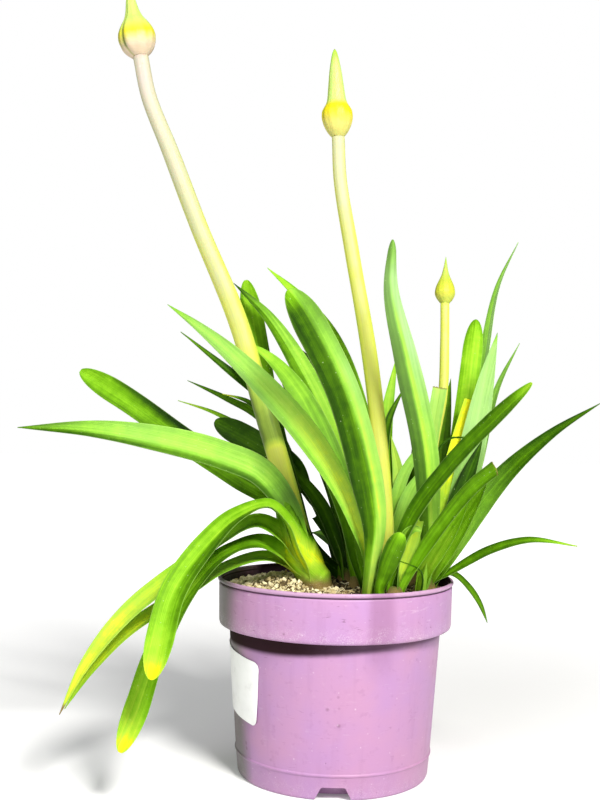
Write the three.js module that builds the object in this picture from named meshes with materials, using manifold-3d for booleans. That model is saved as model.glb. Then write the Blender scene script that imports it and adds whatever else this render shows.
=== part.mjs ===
// An agapanthus in its plastic nursery pot. Millimetres, +Z up, the front faces -Y.
// The origin is on the pot's axis, at the surface it stands on.
import * as THREE from 'three';
import { mergeVertices } from 'three/addons/utils/BufferGeometryUtils.js';
import Module from 'manifold-3d';

const wasm = await Module();
wasm.setup();

// Pot
const lipRadius = 85.3;
const potHeight = 138.3;
const wall = 1.8;
const collarFoot = 104.5; // height of the collar's underside
const collarRadius = 83.7; // at the collar's lower edge
const bodyTopRadius = 76; // just under the collar
const bodyFootRadius = 69.9; // just above the raised ring
const ringHeight = 17.8; // top of the raised ring
const ringDepth = 2.2; // from its top to its lower edge
const ringProud = 0.6;
const lipDepth = 3.1; // from the rim to the groove under it
const lipGroove = 1.7;
const footRadius = 67;
const footWall = 1.2; // width of the ring that the pot stands on
const floorTop = 2.8;
const panelRadius = 57.2; // the flat middle of the base
const panelRecess = 1; // it stands this far above the foot
const channelRise = 10; // underside of the drainage channel behind the foot
const potSides = 32;
const notch = { foot: 25, top: 14, height: 9, count: 4, aside: -1.5, inner: 60, outer: 74 };
const drain = { radius: 3, ring: 61.5, count: 6, depth: 8, sides: 10 };

// Label
const label = { low: 45, high: 89, from: 47, to: 99, corner: 5, thickness: 0.3, steps: 14 };

// Soil
const soil = { edge: 129.5, dome: 2.5, radius: 82, moundX: -38, moundY: 12, moundRise: 4, moundSpread: 26 };
const soilRings = [70, 55, 38, 20];
const soilRoughness = 0.7;

// Plant
const gap = 0.35; // air between neighbouring solids
const bladeEdge = 0.8; // thickness of a leaf at its edges
const bladeRib = 1.3; // and along its middle
const bladeStep = 40; // a straight leaf is made of pieces of about this length
const bladeBend = 24; // and a bent one has one more for each time it turns this far, in degrees
const bladeSamples = 80;
const footShare = 0.58; // width of a leaf at its foot, as a share of its full width
const openedAt = 0.42; // the share of its length where a leaf is at its full width
// Where the narrowing to each kind of tip begins, how slowly it sets in, and the width left at its end.
const tips = {
  point: { from: 0.5, power: 1.9, left: 0.08 },
  slender: { from: 0.25, power: 1.25, left: 0.08 },
  round: { from: 0.86, power: 2, left: 0.1 },
};
const roundStep = 0.35; // how far before a round tip its last cross-section stands, in pieces
const stemSides = 10;
const budSides = 16;

const colours = { pot: 0xb98ac0, label: 0xf1f0ee, soil: 0x9a8568, scape: 0xd9cf86, bud: 0xc9d84a };
const roughness = { pot: 0.55, label: 0.6, soil: 0.95, leaf: 0.42, scape: 0.5, bud: 0.45 };

// Each shoot has a neck, as [x, y, z, half width, half depth] from inside the soil up, and its leaves.
// A leaf's path runs from inside the neck to the tip. Its turn, at the foot and at the tip, says by
// how many degrees its left edge (looking towards the tip) is turned away from the front. Hollow is
// the depth of its channel against its half width: above 0 the hollow side faces the front. Leaves
// marked with sight 'side' are set out from the side instead of from the front.
const shoots = {
  left: {
    colour: 0x86c832,
    neck: [
      [-12, -15, 112, 8, 12], [-12, -15, 130, 9, 13], [-16, -15, 143, 10, 13.5], [-21, -16, 157, 10.5, 13],
      [-27, -18, 172, 10, 11.5], [-33, -21, 186, 8.5, 8.5], [-38, -24, 196, 5, 5],
    ],
    leaves: [
      { width: 20, turn: [-20, -35], hollow: 0.25, tip: 'point',
        path: [[-16, -25, 140], [-25, -27, 162], [-35, -30, 190], [-54, -35, 214], [-79, -40, 225],
          [-117, -48, 235], [-166, -61, 242], [-214, -75, 242]] },
      { width: 18.5, turn: [-25, -10], hollow: 0.3, tip: 'round',
        path: [[-18, -3, 143], [-27, 0, 163], [-39, 2, 188], [-72, 4, 209], [-113, 8, 235],
          [-155, 16, 263], [-195, 26, 286]] },
      { width: 18.5, turn: [-60, -10], hollow: 0.35, tip: 'round',
        path: [[-17, -26, 146], [-24, -32, 162], [-32, -38, 183], [-47, -45, 196], [-69, -54, 186],
          [-89, -69, 164], [-106, -85, 138], [-113, -103, 110], [-116, -118, 89]] },
      { width: 19, turn: [-60, -30], hollow: 0.25, tip: 'point',
        path: [[-16, -23, 141], [-22, -27, 155], [-32, -31, 173], [-53, -34, 184], [-76, -39, 173],
          [-109, -49, 148], [-143, -62, 119], [-166, -74, 87], [-179, -86, 58]] },
      { width: 17, turn: [-65, -5], hollow: 0.35, tip: 'round',
        path: [[-14, -24, 137], [-20, -28, 146], [-32, -31, 161], [-53, -36, 168], [-80, -43, 158],
          [-103, -54, 132], [-121, -69, 93], [-130, -82, 62], [-138, -94, 37]] },
      { width: 15, turn: [-65, -35], hollow: 0.2, tip: 'point',
        path: [[-12, -20, 136], [-20, -22, 141], [-32, -24, 151], [-51, -28, 156], [-78, -34, 148],
          [-103, -41, 132], [-140, -54, 108], [-163, -65, 83], [-178, -76, 59]] },
    ],
  },
  back: {
    colour: 0x2f6a25,
    neck: [[9, 13, 112, 8, 10], [9, 13, 130, 8.5, 10.5], [7, 14, 143, 8, 10], [4, 16, 156, 5, 7]],
    leaves: [
      { width: 19, turn: [-25, 0], hollow: 0.2, tip: 'round',
        path: [[8, 10, 136], [4, 14, 155], [-9, 22, 185], [-33, 32, 214], [-62, 44, 233], [-95, 58, 250]] },
      { width: 16, turn: [5, 5], hollow: 0.2, tip: 'round',
        path: [[6, 11, 136], [-6, 9, 160], [-24, 10, 190], [-39, 12, 222], [-53, 16, 266], [-61, 20, 307],
          [-71, 24, 357]] },
      { width: 9, turn: [-30, -45], hollow: 0.2, tip: 'point',
        path: [[8, 16, 136], [2, 20, 159], [-21, 35, 210], [-58, 56, 253], [-88, 70, 269],
          [-120, 84, 283]] },
      { width: 7, turn: [-50, -50], hollow: 0.2, tip: 'point',
        path: [[7, 18, 136], [-2, 26, 158], [-31, 46, 213], [-68, 67, 242], [-97, 82, 257],
          [-129, 98, 267]] },
      { width: 9, turn: [-30, -40], hollow: 0.2, tip: 'point',
        path: [[8, 11, 136], [1, 15, 159], [-23, 31, 215], [-50, 47, 250], [-69, 57, 266], [-90, 66, 272]] },
      { width: 11, turn: [-20, -20], hollow: 0.2, tip: 'point',
        path: [[8, 8, 136], [2, 9, 158], [-10, 11, 187], [-27, 13, 209], [-42, 15, 225]] },
      { width: 13, turn: [-10, -10], hollow: 0.2, tip: 'cut',
        path: [[12, 11, 136], [9, 12, 146], [0, 15, 165], [-12, 18, 182]] },
      { width: 7, turn: [0, 0], hollow: 0.1, tip: 'cut', path: [[6, 19, 136], [2, 21, 146], [-2, 24, 160]] },
      { width: 12, turn: [-10, -10], hollow: 0.2, tip: 'point',
        path: [[8, 18, 136], [3, 23, 150], [-5, 29, 184], [-18, 36, 218], [-36, 44, 246]] },
      { width: 10, turn: [-5, -5], hollow: 0.2, tip: 'cut',
        path: [[10, 19, 136], [4, 25, 158], [-6, 31, 195], [-22, 40, 237], [-38, 50, 282]] },
    ],
  },
  inner: {
    colour: 0x2c5f22,
    neck: [[14, -9, 112, 5, 5.5], [14, -9, 130, 5.5, 6], [13, -10, 142, 5, 5.5], [11, -11, 152, 3, 3.5]],
    leaves: [
      { width: 13, turn: [-35, -50], hollow: 0.3, tip: 'point',
        path: [[12, -9, 136], [7, -12, 155], [-14, -18, 207], [-44, -23, 250], [-80, -26, 286],
          [-113, -28, 312]] },
      { width: 8, turn: [30, 30], hollow: 0.2, tip: 'point',
        path: [[13, -11, 136], [11, -13, 152], [8, -15, 177], [3, -18, 200]] },
      { width: 8, turn: [30, 30], hollow: 0.2, tip: 'point',
        path: [[16, -8, 136], [15, -8, 148], [13, -9, 166], [9, -11, 189]] },
    ],
  },
  centre: {
    colour: 0x6fbf34,
    neck: [[24, -38, 112, 7, 16], [24, -38, 130, 7.5, 16.5], [23, -38, 145, 6.5, 15], [21, -37, 158, 4, 11]],
    leaves: [
      { width: 20, turn: [-15, -25], hollow: 0.15, tip: 'point',
        path: [[23, -43, 136], [17, -44, 160], [0, -46, 208], [-28, -49, 247], [-70, -54, 290],
          [-97, -57, 312], [-119, -60, 327]] },
      { width: 22.5, turn: [5, -15], hollow: -0.4, tip: 'round',
        path: [[25, -51, 136], [25, -56, 157], [15, -66, 215], [0, -82, 269], [-25, -100, 315],
          [-37, -108, 332]] },
      { width: 19, turn: [-10, -20], hollow: 0.2, tip: 'point',
        path: [[25, -27, 136], [27, -12, 163], [25, -2, 202], [16, 8, 260], [-4, 16, 314], [-30, 22, 347],
          [-55, 26, 367]] },
      { width: 18, turn: [-10, -25], hollow: 0.35, tip: 'point',
        path: [[23, -33, 136], [19, -32, 157], [12, -27, 192], [-2, -18, 237], [-25, -5, 285],
          [-53, 9, 328], [-80, 20, 354]] },
      { width: 18, turn: [-10, -20], hollow: 0.2, tip: 'round',
        path: [[21, -36, 136], [14, -36, 157], [8, -34, 185], [-8, -28, 230], [-28, -18, 269],
          [-48, -8, 294], [-69, 2, 309]] },
      { width: 12, turn: [-10, -10], hollow: 0.2, tip: 'cut',
        path: [[22, -30, 136], [16, -26, 164], [9, -22, 202], [-3, -18, 241], [-20, -13, 273],
          [-40, -9, 299]] },
    ],
  },
  front: {
    colour: 0x4e8a22,
    neck: [[38, -57, 112, 7.5, 6], [38, -57, 130, 8, 6.5], [38, -58, 142, 7, 5.5], [38, -59, 152, 4, 3.5]],
    leaves: [
      { width: 14, turn: [55, 62], hollow: 0.2, tip: 'round',
        path: [[37, -57, 136], [38, -60, 161], [48, -68, 191], [70, -82, 225], [93, -99, 253],
          [115, -116, 276]] },
      { width: 13, turn: [10, 40], hollow: -0.3, tip: 'round',
        path: [[34, -59, 136], [31, -64, 155], [36, -68, 171], [43, -71, 180], [52, -74, 180]] },
      { width: 13, turn: [35, 35], hollow: 0.25, tip: 'cut',
        path: [[42, -56, 136], [54, -60, 161], [72, -76, 192], [85, -93, 211], [97, -108, 224]] },
      { width: 9, turn: [10, 15], hollow: 0.2, tip: 'cut',
        path: [[40, -54, 136], [44, -53, 152], [50, -52, 171], [53, -51, 184]] },
    ],
  },
  right: {
    colour: 0x5fae3a,
    neck: [[61, -32, 112, 9, 8.5], [61, -32, 130, 10, 9], [62, -33, 143, 9, 8], [64, -34, 155, 5, 5]],
    leaves: [
      { width: 20, turn: [10, 15], hollow: -0.4, tip: 'point',
        path: [[59, -36, 136], [63, -38, 163], [62, -41, 197], [58, -45, 235], [44, -53, 292],
          [32, -60, 340], [32, -66, 373]] },
      { width: 20, turn: [20, 40], hollow: 0.3, tip: 'slender',
        path: [[64, -29, 137], [75, -31, 156], [92, -40, 188], [114, -53, 219], [140, -68, 245],
          [167, -86, 265]] },
      { width: 15, turn: [25, 25], hollow: 0.25, tip: 'point',
        path: [[62, -34, 137], [70, -39, 156], [83, -51, 185], [97, -70, 212]] },
      { width: 14, turn: [20, 25], hollow: 0.2, tip: 'point',
        path: [[58, -38, 136], [61, -43, 152], [72, -51, 174], [86, -62, 199]] },
      { width: 9, turn: [55, 70], hollow: 0.2, tip: 'point',
        path: [[65, -31, 138], [80, -32, 148], [104, -43, 165], [128, -58, 174], [155, -78, 173]] },
    ],
  },
  middle: {
    colour: 0x7cc24a,
    neck: [[38, 13, 112, 6.5, 9], [38, 13, 130, 7, 9.5], [38, 13, 143, 6, 8.5], [39, 14, 153, 3.5, 5]],
    leaves: [
      { width: 11, turn: [10, 10], hollow: 0.2, tip: 'point',
        path: [[40, 14, 136], [47, 18, 164], [48, 31, 209], [43, 46, 241]] },
      { width: 12, turn: [15, 15], hollow: 0.2, tip: 'point',
        path: [[38, 18, 136], [38, 26, 178], [39, 52, 246], [50, 86, 306]] },
      { width: 9, turn: [30, 30], hollow: 0.2, tip: 'point',
        path: [[36, 15, 136], [34, 20, 178], [40, 48, 249], [55, 66, 281]] },
      { width: 10, turn: [30, 30], hollow: 0.2, tip: 'point',
        path: [[38, 10, 136], [40, 11, 172], [51, 27, 211], [75, 50, 245]] },
      { width: 12, turn: [20, 25], hollow: 0.2, tip: 'point',
        path: [[40, 8, 136], [44, 6, 165], [55, 12, 200], [70, 20, 222]] },
    ],
  },
  rear: {
    colour: 0x8fd048,
    neck: [[61, 12, 112, 10, 11], [61, 12, 130, 11, 12], [63, 12, 143, 10, 11], [67, 13, 155, 5, 6]],
    leaves: [
      { width: 18, turn: [10, 15], hollow: 0.15, tip: 'point',
        path: [[66, 6, 137], [82, 6, 162], [94, 10, 202], [102, 15, 239], [112, 22, 285], [121, 28, 321]] },
      { width: 15, turn: [15, 10], hollow: -0.25, tip: 'round',
        path: [[65, 14, 137], [80, 17, 164], [90, 29, 209], [99, 47, 254], [108, 68, 303], [114, 84, 337]] },
      { width: 8, turn: [15, 15], hollow: 0.1, tip: 'point',
        path: [[60, 8, 137], [73, 9, 172], [83, 16, 213], [91, 24, 239], [102, 34, 270]] },
      { width: 11, turn: [40, 62], hollow: 0.3, tip: 'point',
        path: [[68, 15, 137], [88, 21, 164], [102, 38, 224], [116, 67, 295], [133, 98, 364],
          [155, 120, 408]] },
      { width: 7, turn: [45, 50], hollow: 0.2, tip: 'point',
        path: [[67, 17, 137], [94, 27, 164], [111, 46, 220], [130, 76, 280], [153, 100, 320]] },
      { width: 14, turn: [10, 10], hollow: 0.2, tip: 'point',
        path: [[58, 18, 137], [72, 32, 174], [81, 56, 207], [88, 74, 247], [95, 90, 289]] },
      { width: 11, turn: [10, 10], hollow: 0.2, tip: 'cut',
        path: [[54, 13, 137], [64, 17, 171], [68, 25, 208], [73, 31, 246], [79, 36, 279]] },
      { width: 15, turn: [20, 20], hollow: 0.2, tip: 'point',
        path: [[66, 3, 137], [80, 0, 166], [89, 1, 195], [97, 4, 216], [107, 8, 239]] },
      { width: 8, turn: [75, 40], hollow: 0.2, tip: 'point',
        path: [[66, 6, 139], [79, 6, 142], [88, 7, 141], [100, 9, 133], [110, 12, 120], [116, 16, 104]] },
    ],
  },
  far: {
    colour: 0x4c9a2c,
    neck: [[22, 46, 112, 9, 8], [22, 46, 130, 10, 9], [21, 48, 143, 8, 8], [19, 52, 154, 4, 5]],
    leaves: [
      { width: 20, turn: [-75, -85], hollow: 0.25, tip: 'round', sight: 'side',
        path: [[22, 48, 137], [18, 62, 172], [8, 90, 218], [-4, 128, 242], [-16, 168, 236]] },
      { width: 19, turn: [-75, -85], hollow: 0.25, tip: 'point', sight: 'side',
        path: [[24, 49, 137], [28, 66, 166], [34, 100, 196], [38, 140, 194], [40, 172, 166]] },
      { width: 17, turn: [-80, -80], hollow: 0.2, tip: 'point', sight: 'side',
        path: [[20, 50, 137], [10, 68, 158], [-12, 98, 178], [-38, 126, 172], [-60, 148, 146]] },
      { width: 17, turn: [-35, -30], hollow: 0.25, tip: 'point',
        path: [[18, 46, 137], [8, 56, 162], [-14, 72, 196], [-44, 88, 222], [-80, 104, 232]] },
      { width: 15, turn: [0, 10], hollow: 0.2, tip: 'round',
        path: [[23, 48, 137], [24, 58, 180], [20, 72, 236], [12, 84, 290]] },
    ],
  },
  far_right: {
    colour: 0x57a534,
    neck: [[52, 42, 112, 8, 7], [52, 42, 130, 8.5, 7.5], [53, 44, 143, 7, 7], [54, 48, 153, 4, 4]],
    leaves: [
      { width: 19, turn: [-70, -80], hollow: 0.25, tip: 'point', sight: 'side',
        path: [[53, 45, 137], [58, 62, 172], [68, 96, 216], [80, 136, 226], [90, 170, 206]] },
      { width: 18, turn: [-60, -75], hollow: 0.25, tip: 'point', sight: 'side',
        path: [[55, 44, 137], [66, 58, 162], [86, 88, 188], [108, 120, 192], [124, 144, 176]] },
      { width: 16, turn: [-75, -80], hollow: 0.2, tip: 'round', sight: 'side',
        path: [[51, 45, 137], [52, 62, 160], [58, 90, 178], [66, 122, 170], [72, 148, 142]] },
      { width: 13, turn: [20, 20], hollow: 0.2, tip: 'point',
        path: [[53, 42, 137], [56, 54, 172], [60, 76, 228], [60, 98, 280]] },
    ],
  },
};

// Each scape runs from the soil to the base of its bud, and its radius is given at each point.
const scapes = {
  left: {
    path: [[-14, -13, 116], [-18, -13, 155], [-34, -10, 201], [-54, -7, 258], [-76, -3, 324],
      [-104, 1, 392], [-128, 5, 449], [-146, 8, 491], [-154, 10, 519]],
    radii: [5.2, 6, 7.6, 7.6, 6.9, 6.2, 5.7, 5.4, 5.3],
    bud: { radius: 14.8, length: 63, flatten: 0.88 },
  },
  centre: {
    path: [[37, -19, 116], [34, -21, 181], [28, -19, 245], [21, -17, 299], [7, -13, 375], [-2, -10, 426],
      [-4, -8, 458]],
    radii: [5.6, 5.8, 5.7, 5.3, 4.9, 4.6, 4.3],
    bud: { radius: 11.4, length: 64, flatten: 0.9 },
  },
  right: {
    path: [[60, 22, 116], [68, 27, 178], [76, 39, 235], [84, 49, 274], [86, 61, 314], [86, 70, 345]],
    radii: [3.8, 4, 3.9, 3.8, 3.6, 3.5],
    bud: { radius: 8, length: 41, flatten: 0.92 },
  },
};

// A closed bud from its base to the tip of its beak, as shares of its length and radius.
const budProfile = [
  [0, 0.42], [0.03, 0.74], [0.09, 0.95], [0.18, 1], [0.27, 0.9], [0.35, 0.66], [0.44, 0.53], [0.6, 0.38],
  [0.8, 0.2], [0.95, 0.07],
];

function vector([x, y, z]) {
  return new THREE.Vector3(x, y, z);
}

function closedGeometry(points, triangles) {
  const geometry = new THREE.BufferGeometry();
  geometry.setAttribute('position', new THREE.Float32BufferAttribute(points.flatMap((p) => p.toArray()), 3));
  geometry.setIndex(triangles.flat());
  return geometry;
}

function toSolid(geometry) {
  const bare = geometry.clone();
  bare.deleteAttribute('normal');
  bare.deleteAttribute('uv');
  const merged = mergeVertices(bare);
  return new wasm.Manifold(new wasm.Mesh({
    numProp: 3,
    vertProperties: new Float32Array(merged.attributes.position.array),
    triVerts: new Uint32Array(merged.index.array),
  }));
}

function toGeometry(solid) {
  const { vertProperties, triVerts } = solid.getMesh();
  const geometry = new THREE.BufferGeometry();
  geometry.setAttribute('position', new THREE.Float32BufferAttribute(vertProperties, 3));
  geometry.setIndex(new THREE.Uint32BufferAttribute(triVerts, 1));
  return geometry;
}

// The largest body of a solid, without the scraps that a cut leaves.
function mainBody(solid) {
  return solid.decompose().reduce((best, body) => (body.volume() > best.volume() ? body : best));
}

// A closed skin over rings of points, each wound counter-clockwise seen from its end.
function loft(rings) {
  const count = rings[0].length;
  const points = rings.flat();
  const triangles = [];
  for (let i = 0; i + 1 < rings.length; i += 1) {
    for (let k = 0; k < count; k += 1) {
      const next = (k + 1) % count;
      const [a, b] = [i * count + k, i * count + next];
      triangles.push([a, b, b + count], [a, b + count, a + count]);
    }
  }
  const last = (rings.length - 1) * count;
  for (let k = 1; k + 1 < count; k += 1) {
    triangles.push([0, k + 1, k], [last, last + k, last + k + 1]);
  }
  return closedGeometry(points, triangles);
}

function neckSolid(sections, grow = 0) {
  return toSolid(loft(sections.map(([x, y, z, halfWidth, halfDepth]) => (
    Array.from({ length: stemSides }, (_, k) => {
      const angle = (k / stemSides) * 2 * Math.PI;
      return new THREE.Vector3(
        x + (halfWidth + grow) * Math.cos(angle), y + (halfDepth + grow) * Math.sin(angle), z);
    })
  ))));
}

// How wide a leaf is at a fraction of its length, against its full width.
function outline(t, tip) {
  const opened = footShare + (1 - footShare) * THREE.MathUtils.smoothstep(t, 0, openedAt);
  if (tip === 'cut') return opened;
  const { from, power, left } = tips[tip];
  const kept = 1 - (1 - left) * THREE.MathUtils.clamp((t - from) / (1 - from), 0, 1) ** power;
  return opened * (tip === 'round' ? Math.sqrt(kept) : kept);
}

// Where along a leaf its cross-sections stand: closer together where it bends.
function leafStations(curve, tip) {
  const length = curve.getLength();
  const effort = [0];
  for (let i = 1; i <= bladeSamples; i += 1) {
    const [before, here] = [curve.getTangentAt((i - 1) / bladeSamples), curve.getTangentAt(i / bladeSamples)];
    const bend = THREE.MathUtils.radToDeg(before.angleTo(here));
    effort.push(effort[i - 1] + length / bladeSamples / bladeStep + bend / bladeBend);
  }
  const steps = Math.max(3, Math.round(effort[bladeSamples]));
  const stations = [0];
  for (let i = 1; i < steps; i += 1) {
    const wanted = (i / steps) * effort[bladeSamples];
    stations.push(effort.findIndex((sum) => sum >= wanted) / bladeSamples);
  }
  if (tip === 'round') stations.push(1 - roundStep * (1 - stations[steps - 1]));
  return [...stations, 1];
}

// A strap leaf: a thin shallow channel swept along its path, three points across on each face.
function leafSolid({ width, turn, hollow, tip, path, sight }) {
  const curve = new THREE.CatmullRomCurve3(path.map(vector), false, 'centripetal');
  const view = sight === 'side' ? new THREE.Vector3(1, 0, 0) : new THREE.Vector3(0, 1, 0);
  const points = [];
  const stations = leafStations(curve, tip);
  for (const t of stations) {
    const middle = curve.getPointAt(t);
    const along = curve.getTangentAt(t);
    const flat = new THREE.Vector3().crossVectors(along, view).normalize();
    const deep = new THREE.Vector3().crossVectors(flat, along);
    const angle = THREE.MathUtils.degToRad(THREE.MathUtils.lerp(turn[0], turn[1], t));
    const across = flat.multiplyScalar(Math.cos(angle)).addScaledVector(deep, Math.sin(angle));
    const back = new THREE.Vector3().crossVectors(across, along);
    const half = (width / 2) * outline(t, tip);
    for (const face of [-1, 1]) {
      for (const side of [-1, 0, 1]) {
        const thickness = side === 0 ? bladeRib : bladeEdge;
        const depth = (side === 0 ? hollow * half : 0) + (face * thickness) / 2;
        points.push(middle.clone().addScaledVector(across, side * half).addScaledVector(back, depth));
      }
    }
  }
  const triangles = [];
  // Both faces of a strip are split along the same diagonal.
  const strip = (frontSide, i, left) => {
    const a = i * 6 + (frontSide ? 0 : 3) + (left ? 0 : 1);
    const [b, c, d] = [a + 1, a + 7, a + 6];
    const pair = left ? [[a, b, d], [b, c, d]] : [[a, b, c], [a, c, d]];
    triangles.push(...(frontSide ? pair.map(([p, q, r]) => [p, r, q]) : pair));
  };
  for (let i = 0; i + 1 < stations.length; i += 1) {
    for (const frontSide of [true, false]) {
      strip(frontSide, i, true);
      strip(frontSide, i, false);
    }
    const k = i * 6;
    triangles.push([k, k + 3, k + 9], [k, k + 9, k + 6]);
    triangles.push([k + 5, k + 2, k + 8], [k + 5, k + 8, k + 11]);
  }
  for (const side of [0, 1]) {
    const k = side;
    const e = (stations.length - 1) * 6 + side;
    triangles.push([k, k + 1, k + 4], [k, k + 4, k + 3]);
    triangles.push([e + 1, e, e + 3], [e + 1, e + 3, e + 4]);
  }
  return toSolid(closedGeometry(points, triangles));
}

function scapeCurve({ path }) {
  return new THREE.CatmullRomCurve3(path.map(vector), false, 'centripetal');
}

function scapeSolid(scape, grow = 0) {
  const curve = scapeCurve(scape);
  const rings = scape.path.map((_, i) => {
    const t = i / (scape.path.length - 1);
    const middle = curve.getPoint(t);
    const along = curve.getTangent(t);
    const across = new THREE.Vector3().crossVectors(new THREE.Vector3(0, 1, 0), along).normalize();
    const deep = new THREE.Vector3().crossVectors(along, across);
    return Array.from({ length: stemSides }, (_, k) => {
      const angle = (k / stemSides) * 2 * Math.PI;
      return middle.clone()
        .addScaledVector(across, (scape.radii[i] + grow) * Math.cos(angle))
        .addScaledVector(deep, (scape.radii[i] + grow) * Math.sin(angle));
    });
  });
  return toSolid(loft(rings));
}

function budGeometry(scape) {
  const { radius, length, flatten } = scape.bud;
  const profile = budProfile.map(([along, out]) => new THREE.Vector2(out * radius, along * length));
  const points = [new THREE.Vector2(0, 0), ...profile, new THREE.Vector2(0, length)];
  const geometry = new THREE.LatheGeometry(points, budSides);
  geometry.rotateX(Math.PI / 2);
  geometry.scale(1, flatten, 1);
  return geometry;
}

// Outer skin of the pot up to the lip, then its inner skin down to the floor, as [radius, height].
function potProfile() {
  const innerTop = bodyTopRadius - wall;
  const innerFoot = footRadius - footWall;
  const ringRadius = bodyFootRadius + ringProud;
  const grooveRadius = lipRadius - lipGroove;
  const grooveTop = potHeight - lipDepth;
  const collarInside = collarRadius - wall;
  return [
    [innerFoot, 0], [footRadius, 0], [footRadius + 1, 0.8], [footRadius + 1.4, 2.2],
    [bodyFootRadius - 0.2, ringHeight - ringDepth], [ringRadius, ringHeight - ringDepth + 0.6],
    [ringRadius, ringHeight - 0.6], [bodyFootRadius, ringHeight],
    [bodyTopRadius, collarFoot - 3], [bodyTopRadius + 0.4, collarFoot - 1.3],
    [bodyTopRadius + 1.6, collarFoot - 0.1], [collarRadius - 2.1, collarFoot],
    [collarRadius - 0.5, collarFoot + 0.9], [collarRadius, collarFoot + 2.7],
    [grooveRadius + 0.7, grooveTop - 1.6], [grooveRadius, grooveTop - 0.8], [grooveRadius, grooveTop],
    [lipRadius - 0.3, grooveTop + 0.6], [lipRadius, potHeight - 1.3], [lipRadius - 0.4, potHeight - 0.3],
    [lipRadius - 1.3, potHeight], [lipRadius - 2.5, potHeight - 0.3], [lipRadius - 2.9, potHeight - 1.1],
    [collarInside, collarFoot + 4], [collarInside - 0.7, collarFoot + 2.3],
    [collarInside - 2.3, collarFoot + 1.9], [innerTop + 0.8, collarFoot + 1.7],
    [innerTop, collarFoot - 1], [bodyFootRadius - wall, ringHeight],
    [footRadius - 1, channelRise + wall], [panelRadius - 0.2, channelRise + wall],
    [panelRadius - wall + 0.2, channelRise], [panelRadius - wall, floorTop], [0, floorTop],
    [0, panelRecess], [panelRadius, panelRecess], [panelRadius + 0.4, channelRise - 0.8],
    [panelRadius + 1.2, channelRise], [innerFoot - 1, channelRise], [innerFoot, channelRise - 0.8],
  ];
}

function potSolid() {
  const profile = potProfile();
  const points = [...profile, profile[0]].map(([radius, height]) => new THREE.Vector2(radius, height));
  const shell = new THREE.LatheGeometry(points, potSides);
  shell.rotateX(Math.PI / 2);
  let solid = toSolid(shell);
  const opening = new THREE.Shape([
    new THREE.Vector2(-notch.foot / 2, -1), new THREE.Vector2(notch.foot / 2, -1),
    new THREE.Vector2(notch.top / 2, notch.height), new THREE.Vector2(-notch.top / 2, notch.height),
  ]);
  for (let k = 0; k < notch.count; k += 1) {
    const cut = new THREE.ExtrudeGeometry(opening, { depth: notch.outer - notch.inner, bevelEnabled: false });
    cut.rotateX(Math.PI / 2);
    cut.translate(notch.aside, -notch.inner, 0);
    cut.rotateZ((k / notch.count) * 2 * Math.PI);
    solid = solid.subtract(toSolid(cut));
  }
  for (let k = 0; k < drain.count; k += 1) {
    const hole = new THREE.CylinderGeometry(drain.radius, drain.radius, drain.depth, drain.sides);
    hole.rotateX(Math.PI / 2);
    hole.translate(drain.ring, 0, channelRise + wall / 2);
    hole.rotateZ(((k + 0.5) / drain.count) * 2 * Math.PI);
    solid = solid.subtract(toSolid(hole));
  }
  return solid;
}

function bodyRadiusAt(height) {
  const share = (height - ringHeight) / (collarFoot - 3 - ringHeight);
  return THREE.MathUtils.lerp(bodyFootRadius, bodyTopRadius, share);
}

// A thin sticker bent round the body, with rounded corners.
function labelGeometry() {
  const sweep = THREE.MathUtils.degToRad(label.to - label.from);
  const length = sweep * bodyRadiusAt((label.low + label.high) / 2);
  const corner = [0, 0.3, 0.65, 1].map((share) => share * label.corner);
  const inner = Array.from({ length: label.steps }, (_, i) => (
    THREE.MathUtils.lerp(label.corner, length - label.corner, (i + 1) / (label.steps + 1))));
  const stations = [...corner, ...inner, ...corner.map((x) => length - x).reverse()];
  const rings = stations.map((x) => {
    const intoCorner = Math.max(0, label.corner - Math.min(x, length - x));
    const trim = label.corner - Math.sqrt(label.corner ** 2 - intoCorner ** 2);
    const angle = THREE.MathUtils.degToRad(-90 - label.from) - (x / length) * sweep;
    const at = (height, lift) => {
      const radius = bodyRadiusAt(height) + gap + lift;
      return new THREE.Vector3(radius * Math.cos(angle), radius * Math.sin(angle), height);
    };
    const [low, high] = [label.low + trim, label.high - trim];
    return [at(low, 0), at(low, label.thickness), at(high, label.thickness), at(high, 0)];
  });
  return loft(rings);
}

// The same random draw each time, from 0 to 1.
let seed = 20;
function draw() {
  seed = (seed * 16807) % 2147483647;
  return seed / 2147483647;
}

function soilHeight(x, y) {
  const dome = soil.dome * (1 - (Math.hypot(x, y) / soil.radius) ** 2);
  const away = Math.hypot(x - soil.moundX, y - soil.moundY) / soil.moundSpread;
  return soil.edge + dome + soil.moundRise * Math.exp(-(away ** 2));
}

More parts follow.
